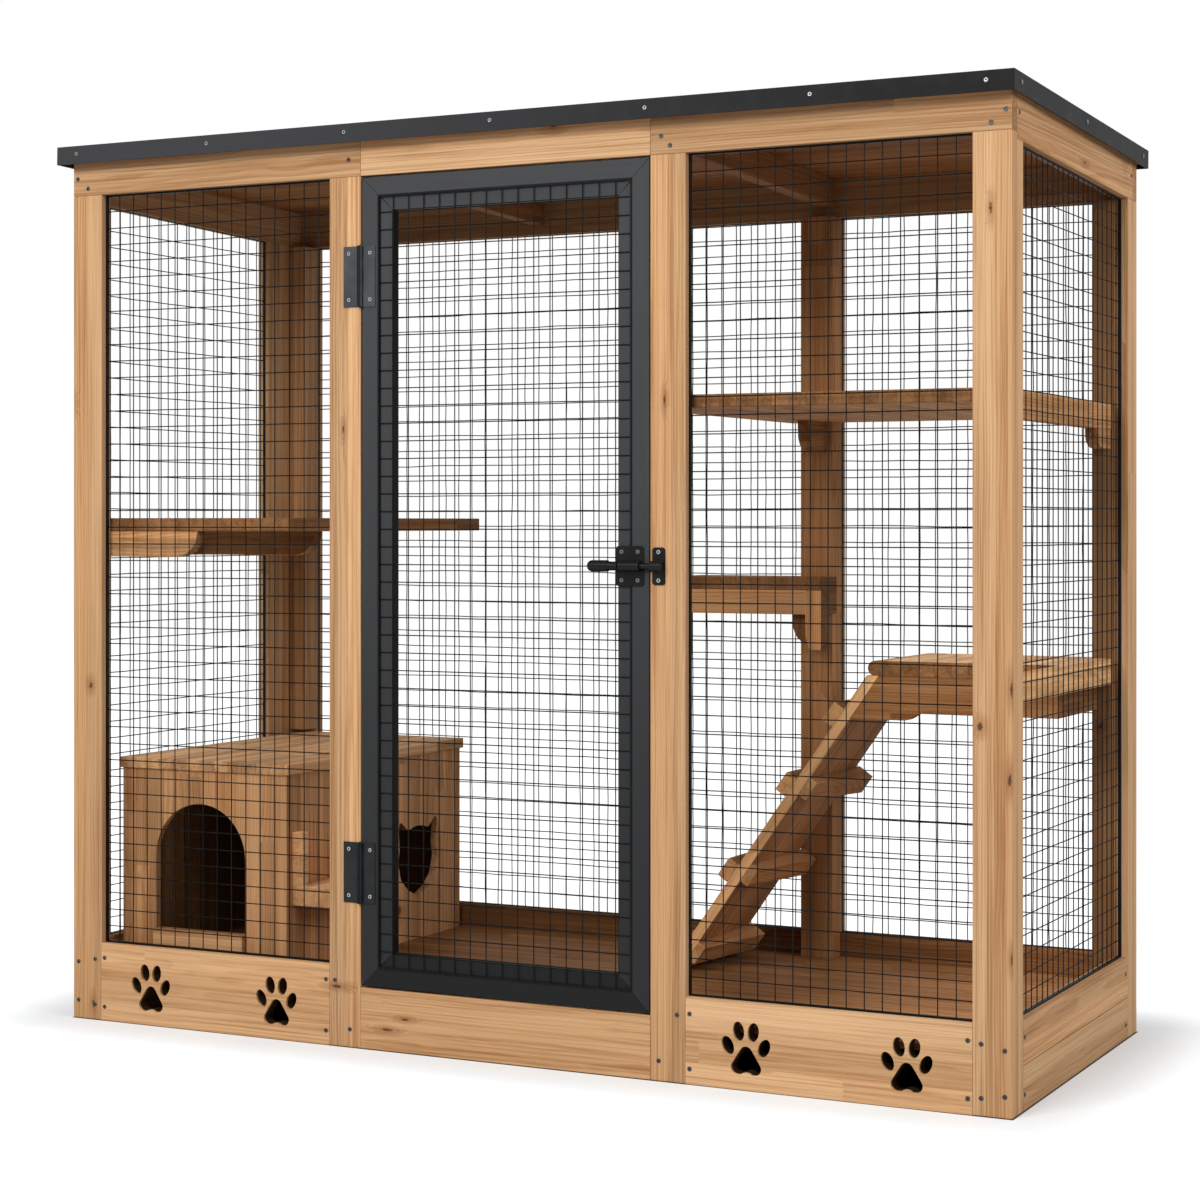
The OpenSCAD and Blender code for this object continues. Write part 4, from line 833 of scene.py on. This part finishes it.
# %% Running a tree
def grown(tree, name, values, points=None):
    """The mesh that a tree draws with these values."""
    base = bpy.data.meshes.new(name)
    if points:
        base.from_pydata([row[0] for row in points], [], [])
        base.attributes.new("aim", "FLOAT_VECTOR", "POINT")
        base.attributes.new("bright", "FLOAT", "POINT")
        base.attributes["aim"].data.foreach_set("vector", [c for row in points for c in row[1]])
        base.attributes["bright"].data.foreach_set("value", [row[2] for row in points])
    holder = placed(name, base)
    modifier = holder.modifiers.new(name, "NODES")
    modifier.node_group = tree
    for item in tree.interface.items_tree:
        if item.item_type == "SOCKET" and item.in_out == "INPUT" and item.name in values:
            modifier[item.identifier] = values[item.name]
    holder.update_tag()
    bpy.context.view_layer.update()
    view = bpy.context.evaluated_depsgraph_get()
    data = bpy.data.meshes.new_from_object(holder.evaluated_get(view))
    bpy.data.objects.remove(holder)
    return data


# %% Black coated wire
def black_metal(name, colour, rough, grit=900.0, sheen=0.5, barrel=None, wear_and_light=None):
    """Powder coat: almost black, with a fine orange peel. On a hinge a highlight is painted beside
    the barrel, the barrel is painted almost black as shade, and shade is painted towards the foot.
    The trim has light painted in towards its left end, where it turns the given paler colour."""
    look = Look(name)
    at = look.place()
    peel = look.noise(at * grit)
    patch = look.noise(at * 22.0, detail=3)
    paler = tuple(c * 1.9 + 0.004 for c in colour)
    mixed = look.blend(colour, paler, patch.ramp(0.35, 0.75) * 0.5)
    if wear_and_light is not None:
        # Painted light: the trim gets lighter towards its left end.
        mixed = look.blend(wear_and_light, mixed, at.part(0).ramp(-0.80, 0.95))
    if barrel is not None:
        # Painted highlight beside the barrel, painted shade towards the foot, and the barrel itself
        # painted almost black as shade.
        off = at.part(0) - barrel
        painted_highlight = (1 - (off + 0.0056).math("ABSOLUTE").ramp(0.0006, 0.0014)) * 0.6
        mixed = look.blend(mixed, (0.30, 0.31, 0.32), painted_highlight)
        mixed = mixed * (at.part(2).ramp(0.5, 1.3) * 0.72 + 0.28)
        mixed = mixed * (1 - (1 - off.math("ABSOLUTE").ramp(0.0036, 0.0046)) * 0.93)
    return look.finish(mixed, rough + (patch - 0.5) * 0.22, peel, 0.0002, 0.5, sheen)


wire_black = black_metal("Black coated wire", (0.003, 0.003, 0.003), 0.50, sheen=0.10)
iron_black = black_metal("Black powder coat", (0.006, 0.006, 0.006), 0.30, 700.0, 0.12)
pin_x = sum(corner.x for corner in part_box("hinge_pins")) / 2
leaf_grey = black_metal("Grey powder coat", (0.050, 0.053, 0.058), 0.42, 700.0, 0.14, barrel=pin_x)

# %% [markdown]
# ## Where each panel hangs
# A packed panel says how large it is and where it lies. It is drawn flat, then turned into its
# wall. The rear mesh wanders most, and the strips of the left and rear panels are thinner.

# %% The seven panels
EDGE_WIDE, EDGE_THIN, EDGE_DEEP = 0.004, 0.0016, 0.006
PITCH, WIRE_RADIUS = 0.034, 0.00112


def strip_frame(mesh, width, foot, left_top, right_top, edge):
    """The flat strip round a panel, as four closed bars."""
    slope = math.atan2(right_top - left_top, width)
    upper = (width / math.cos(slope)) * 0.9985
    bars = [((width / 2, 0, foot + edge / 2), (width, EDGE_DEEP, edge), 0),
            ((width / 2, 0, (left_top + right_top) / 2 - edge / 2), (upper, EDGE_DEEP, edge),
             -slope)]
    bars[1:1] = [((x, 0, (foot + top) / 2), (edge, EDGE_DEEP, top - foot - 2 * edge), 0)
                 for x, top in ((edge / 2, left_top), (width - edge / 2, right_top))]
    for middle, size, turn in bars:
        bmesh.ops.create_cube(mesh, size=1, matrix=Matrix.Translation(middle)
                              @ Matrix.Rotation(turn, 4, "Y") @ Matrix.Diagonal((*size, 1)))


def panel_piece(node, side, wander, seed, edge=EDGE_WIDE):
    """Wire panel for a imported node. side is the axis that the panel's width runs along."""
    low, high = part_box(node)
    if side == "X":
        width, left_top, right_top = high.x - low.x, high.z, high.z
        turn = Matrix.Translation((low.x, (low.y + high.y) / 2, 0))
    else:
        points = np.array([v.co for v in nodes[node].data.vertices])
        width, y = high.y - low.y, points[:, 1]
        left_top, right_top = (float(points[end][:, 2].max())
                               for end in (y < low.y + 0.0005, y > high.y - 0.0005))
        turn = (Matrix.Translation(((low.x + high.x) / 2, low.y, 0))
                @ Matrix.Rotation(math.radians(90), 4, "Z"))
    data = grown(wire_panel, node + "_wires", {
        "Width": width, "Foot": low.z, "Left": left_top, "Right": right_top, "Pitch": PITCH,
        "Wire": WIRE_RADIUS, "Wander": wander, "Seed": float(seed), "Finish": wire_black})
    mesh = bmesh.new()
    mesh.from_mesh(data)
    strip_frame(mesh, width, low.z, left_top, right_top, edge)
    mesh.transform(turn)
    return finished(mesh, node, "_wires", wire_black)


panels = [panel_piece(*row) for row in (
    ("mesh_front_left", "X", 0.0006, 1), ("mesh_front_right", "X", 0.0006, 2),
    ("mesh_left", "Y", 0.0016, 3, EDGE_THIN), ("mesh_right", "Y", 0.0008, 4),
    ("mesh_rear_wide", "X", 0.0028, 5, EDGE_THIN), ("mesh_rear_narrow", "X", 0.0028, 6, EDGE_THIN),
    ("door_mesh", "X", 0.0005, 7))]
print("wire triangles:", sum(len(p.vertices) - 2 for o in panels for p in o.data.polygons))

# %% [markdown]
# ## Hinges and the barrel bolt
# Two butt hinges carry the door and a barrel bolt locks it, all powder coated black. Their packed
# shapes are right, so each piece is a merged copy with its sharp edges rounded by half a
# millimetre, which gives the coat its thin highlights.


# %% Iron pieces
def iron(name, material=iron_black, size=0.0005):
    """A packed metal piece with its sharp outer edges rounded."""
    mesh = cleaned(name)
    edges = [e for e in mesh.edges
             if e.is_manifold and e.calc_face_angle_signed(0) > math.radians(40)]
    bevel(mesh, edges, size, 0.5)
    bmesh.ops.recalc_face_normals(mesh, faces=mesh.faces[:])
    return finished(mesh, name, "_coated", material, smooth=32)


ironwork = [iron(name) for name in ("hinge_pins", "bolt_base", "bolt_keeper", "bolt_rod")]
ironwork += [iron(name, leaf_grey) for name in ("post_hinge_leaves", "door_hinge_leaves")]
print(len(ironwork), "iron pieces")

# %% [markdown]
# ## Roof covering and edge trim
# The photograph shows only the folded edge trim, in a satin charcoal. Above it lies mineral felt,
# rolled out in overlapping sheets, so its grit and its lap lines are drawn too.


# %% Felt and trim
def mineral_felt(name):
    look = Look(name)
    at = look.place()
    grit, kind = look.cells(at, 420.0)
    patch = look.noise(at * 3.0, detail=4)
    lap = ((at.part(0) / 0.5 + 0.5).math("FRACT") - 0.5).math("ABSOLUTE").ramp(0.492, 0.5)
    colour = look.blend((0.022, 0.023, 0.025), (0.11, 0.112, 0.116), kind.part(0).ramp(0.45, 1.0))
    colour = colour * (0.8 + patch * 0.4) * (1 - lap * 0.5)
    height = (1 - grit) * 0.6 + patch * 0.3 - lap * 1.2
    return look.finish(colour, 0.9, height, 0.0012, 0.8, 0.25)


felt = mineral_felt("Mineral felt")
# The paler colour given here is painted light at the trim's left end.
trim_paint = black_metal("Charcoal trim", (0.012, 0.012, 0.0125), 0.50, 500.0, 0.05,
                         wear_and_light=(0.047, 0.047, 0.050))
roof = [iron("roof_covering", felt, 0.0012)]
roof += [iron(name, trim_paint) for name in ("roof_trim_long", "roof_trim_sides")]
print(len(roof), "roof pieces")

# %% [markdown]
# ## Screw heads
# About seventy identical screws hold the run together. Their heads are pale zinc with a deep
# socket painted black as shade and sides painted darker, so they show as a ring with a dot, on
# the wood and on the black iron alike; heads sunk in wood are painted darker as a whole. One
# head is built, and a Geometry Nodes tree sets it on every screw of the imported model, turned
# to face outwards and by a different angle each time.


# %% One screw head
HEAD_RADIUS, HEAD_TALL = 0.0044, 0.00138
SOCKET = HEAD_RADIUS * 0.52
PROFILE = ((1.0, -0.3, 0.1), (1.0, 0.35, 0.1), (0.86, 0.75, 0.3), (0.76, 1.0, 1.0))


def screw_head():
    """One head. Its profile's rows hold a share of the radius, one of the height, and a painted
    shine.
    """
    mesh = bmesh.new()
    count, sides = 20, 6
    # The zinc layer holds painted shine: 1 where the zinc is lit, down to 0 in the socket, which is
    # painted black as shade.
    zinc = mesh.verts.layers.float.new("zinc")

    def ring(number, radius, height, shine):
        points = []
        for i in range(number):
            angle = 2 * math.pi * i / number
            point = mesh.verts.new((radius * math.cos(angle), radius * math.sin(angle), height))
            point[zinc] = shine
            points.append(point)
        return points

    def sides_of(points):
        return list(zip(points, points[1:] + points[:1]))

    def wall(low, high):
        for (a, b), (d, c) in zip(sides_of(low), sides_of(high)):
            mesh.faces.new((a, b, c, d))

    rings = [ring(count, HEAD_RADIUS * share, height * HEAD_TALL, shine)
             for share, height, shine in PROFILE]
    for low, high in zip(rings, rings[1:]):
        wall(low, high)
    mesh.faces.new(list(reversed(rings[0])))
    mouth = ring(sides, SOCKET, HEAD_TALL * 0.96, 0.8)
    deep = ring(sides, SOCKET * 0.92, HEAD_TALL * 0.05, 0.0)
    loops = [mesh.edges.new(side) for side in sides_of(mouth)]
    rim = [mesh.edges.get(side) for side in sides_of(rings[-1])]
    bmesh.ops.triangle_fill(mesh, use_beauty=True, edges=loops + rim)
    inside = [f for f in mesh.faces if all(v in mouth for v in f.verts)]
    bmesh.ops.delete(mesh, geom=inside, context="FACES_ONLY")
    wall(mouth, deep)
    mesh.faces.new(deep)
    bmesh.ops.recalc_face_normals(mesh, faces=mesh.faces[:])
    data = bpy.data.meshes.new("screw head")
    mesh.to_mesh(data)
    mesh.free()
    return placed("screw head", data)


head_model = screw_head()
print("one head has", len(head_model.data.polygons), "faces")


# %% Zinc
def zinc_metal(name):
    """Pale zinc with painted shade: black deep in the socket, darker down the sides, and darker as a
    whole where a head is sunk in wood.
    """
    look = Look(name)
    shine = look.attribute("zinc", "Fac").ramp(0.0, 0.9) * look.attribute("bright", "Fac")
    wear_and_light = look.noise(look.place() * 700.0)
    tone = look.blend((0.010, 0.010, 0.011), (0.42, 0.42, 0.43), shine) * (0.75 + wear_and_light * 0.5)
    look.put(look.surface.inputs["Metallic"], shine * 0.7)
    return look.finish(tone, 0.34 + (wear_and_light - 0.5) * 0.2, wear_and_light, 0.0002, 0.3, 0.4)


# %% The tree that sets the screws
def screw_tree():
    maker, (points, head, seed, finish) = new_tree(
        "Screws", Geometry="Geometry", Head="Object", Seed="Int", Finish="Material")
    aim = maker.node("GeometryNodeInputNamedAttribute", {"data_type": "FLOAT_VECTOR"},
                     {"Name": "aim"}, out="Attribute")
    turn = maker.node("FunctionNodeAlignRotationToVector", {"axis": "Z"}, {"Vector": aim})
    angle = maker.node("FunctionNodeRandomValue", {"data_type": "FLOAT"},
                       {"Min_001": 0.0, "Max_001": 1.57, "Seed": seed}, out="Value_001")
    spin = maker.node("FunctionNodeAxisAngleToRotation", {}, {"Axis": (0, 0, 1), "Angle": angle})
    both = maker.node("FunctionNodeRotateRotation", {"rotation_space": "LOCAL"},
                      {"Rotation": turn, "Rotate By": spin})
    shape = maker.node("GeometryNodeObjectInfo", {}, {"Object": head}, out="Geometry")
    many = maker.geometry("InstanceOnPoints", Points=points, Instance=shape, Rotation=both)
    return close_tree(maker, maker.geometry("RealizeInstances", Geometry=many), finish)


def boxes_of(name):
    """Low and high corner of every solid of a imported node."""
    mesh = merged(name)
    boxes = [(np.min([v.co for v in group], axis=0), np.max([v.co for v in group], axis=0))
             for group in islands(mesh)]
    mesh.free()
    return boxes


# Painted brightness of the screws that sit on metal pieces: full on the hinges and the keeper, less
# on the bolt plate and the trim.
METAL = {"post_hinge_leaves": 1.0, "door_hinge_leaves": 1.0, "bolt_base": 0.4, "bolt_keeper": 1.0,
         "roof_trim_long": 0.7, "roof_trim_sides": 0.6}
metal_boxes = [(low, high, shine) for name, shine in METAL.items() for low, high in boxes_of(name)]
IN_WOOD, TURN_SEED = 0.12, 3


def brightness(seat):
    """How bright a screw is painted: dark, as painted shade, where it is sunk in wood."""
    point = np.array(seat)
    return next((shine for low, high, shine in metal_boxes
                 if (point > low - 0.002).all() and (point < high + 0.002).all()), IN_WOOD)


screw_metal = zinc_metal("Pale zinc")
screw_set = screw_tree()
for node, rows in screws.items():
    data = grown(screw_set, node + "_heads",
                 {"Head": head_model, "Seed": TURN_SEED, "Finish": screw_metal},
                 points=[(tuple(seat), tuple(out), brightness(seat)) for seat, out, _ in rows])
    mesh = bmesh.new()
    mesh.from_mesh(data)
    heads = finished(mesh, node, "_heads", screw_metal, smooth=35)
    print(heads.name, len(heads.data.polygons), "faces")
bpy.data.objects.remove(head_model)

# %% [markdown]
# ## Studio
# The photograph is a cut-out on white: soft light from the front and above, a darker inside, and
# only a breath of shadow on the floor. The white comes from the floor and the world as the camera
# sees them. The light on the object stays plain, so its colours render about as they are written.


# %% Floor and world
HALF_WIDE, HALF_DEEP, UNDER, FLOOR = 1.0, 0.416, 0.03, 14


def is_seen(look):
    """1 for rays from the camera, a mirror or a glass, and 0 for light that falls on the object."""
    path = look.tree.nodes.new("ShaderNodeLightPath")
    rays = [Field(look, path.outputs[f"Is {kind} Ray"])
            for kind in ("Camera", "Glossy", "Transmission")]
    return (rays[0] + rays[1] + rays[2]).math("MINIMUM", 1.0)


floor_look = Look("Studio floor")
seen = is_seen(floor_look)
spot = floor_look.place()
away = [spot.part(axis).math("ABSOLUTE") for axis in (0, 1)]
halves = (HALF_WIDE, HALF_DEEP)
# Painted shadow: the floor is painted dark under the object and in a thin line along its edge.
under_x, under_y = [a.math("LESS_THAN", half - UNDER) for a, half in zip(away, halves)]
away_x, away_y = [(a - half).math("MAXIMUM", 0.0) for a, half in zip(away, halves)]
apart = (away_x * away_x + away_y * away_y).math("SQRT")
near, contact_shadow = 1 - apart.ramp(0.0, 0.34), 1 - apart.ramp(0.001, 0.004)
dark = (under_x * under_y).math("MAXIMUM", contact_shadow)
white_with_painted_shade = floor_look.blend(0.5, 0.86, seen) * (1 - dark * 0.9)
white = floor_look.node("BsdfDiffuse", {}, {"Color": floor_look.vector(
    white_with_painted_shade * 0.93, white_with_painted_shade * 0.97, white_with_painted_shade)})
# The glow keeps the floor white where the camera sees it, and dims near the object as painted
# shadow.
glow = floor_look.node("Emission", {}, {
    "Color": (1.0, 1.0, 1.0), "Strength": seen * (1 - dark) * (0.64 - near * 0.50)})
total = floor_look.node("AddShader", {}, {0: white, 1: glow})
floor_look.put(floor_look.tree.nodes["Material Output"].inputs["Surface"], total)
floor_mesh = bpy.data.meshes.new("Studio_floor")
corners = [(-FLOOR, -FLOOR), (FLOOR, -FLOOR), (FLOOR, FLOOR), (-FLOOR, FLOOR)]
floor_mesh.from_pydata([(x, y, -0.0004) for x, y in corners], [], [(0, 1, 2, 3)])
floor_mesh.materials.append(floor_look.material)
floor = placed("Studio_floor", floor_mesh)

world = bpy.data.worlds.new("Studio")
bpy.context.scene.world = world
world.use_nodes = True
sky = world.node_tree.nodes["Background"]
world_look = Maker(world.node_tree)
sky.inputs["Color"].default_value = (1, 1, 1, 1)
world_look.put(sky.inputs["Strength"], 0.50 + is_seen(world_look) * 0.50)


# %% Lamps
def softbox(name, place, target, size, power):
    data = bpy.data.lights.new(name, "AREA")
    data.shape = "RECTANGLE"
    data.size, data.size_y, data.energy = size[0], size[1], power
    lamp = placed(name, data)
    lamp.location = place
    lamp.rotation_euler = (Vector(target) - Vector(place)).to_track_quat("-Z", "Y").to_euler()
    lamp.visible_camera = False
    return lamp


softbox("Key", (-0.4, -4.8, 3.4), (0, 0, 0.8), (3.0, 2.0), 180)
softbox("Side", (4.6, -1.2, 2.8), (0.4, 0, 0.9), (2.4, 2.0), 72)
bpy.context.scene.view_settings.view_transform = "Standard"
print("studio is lit")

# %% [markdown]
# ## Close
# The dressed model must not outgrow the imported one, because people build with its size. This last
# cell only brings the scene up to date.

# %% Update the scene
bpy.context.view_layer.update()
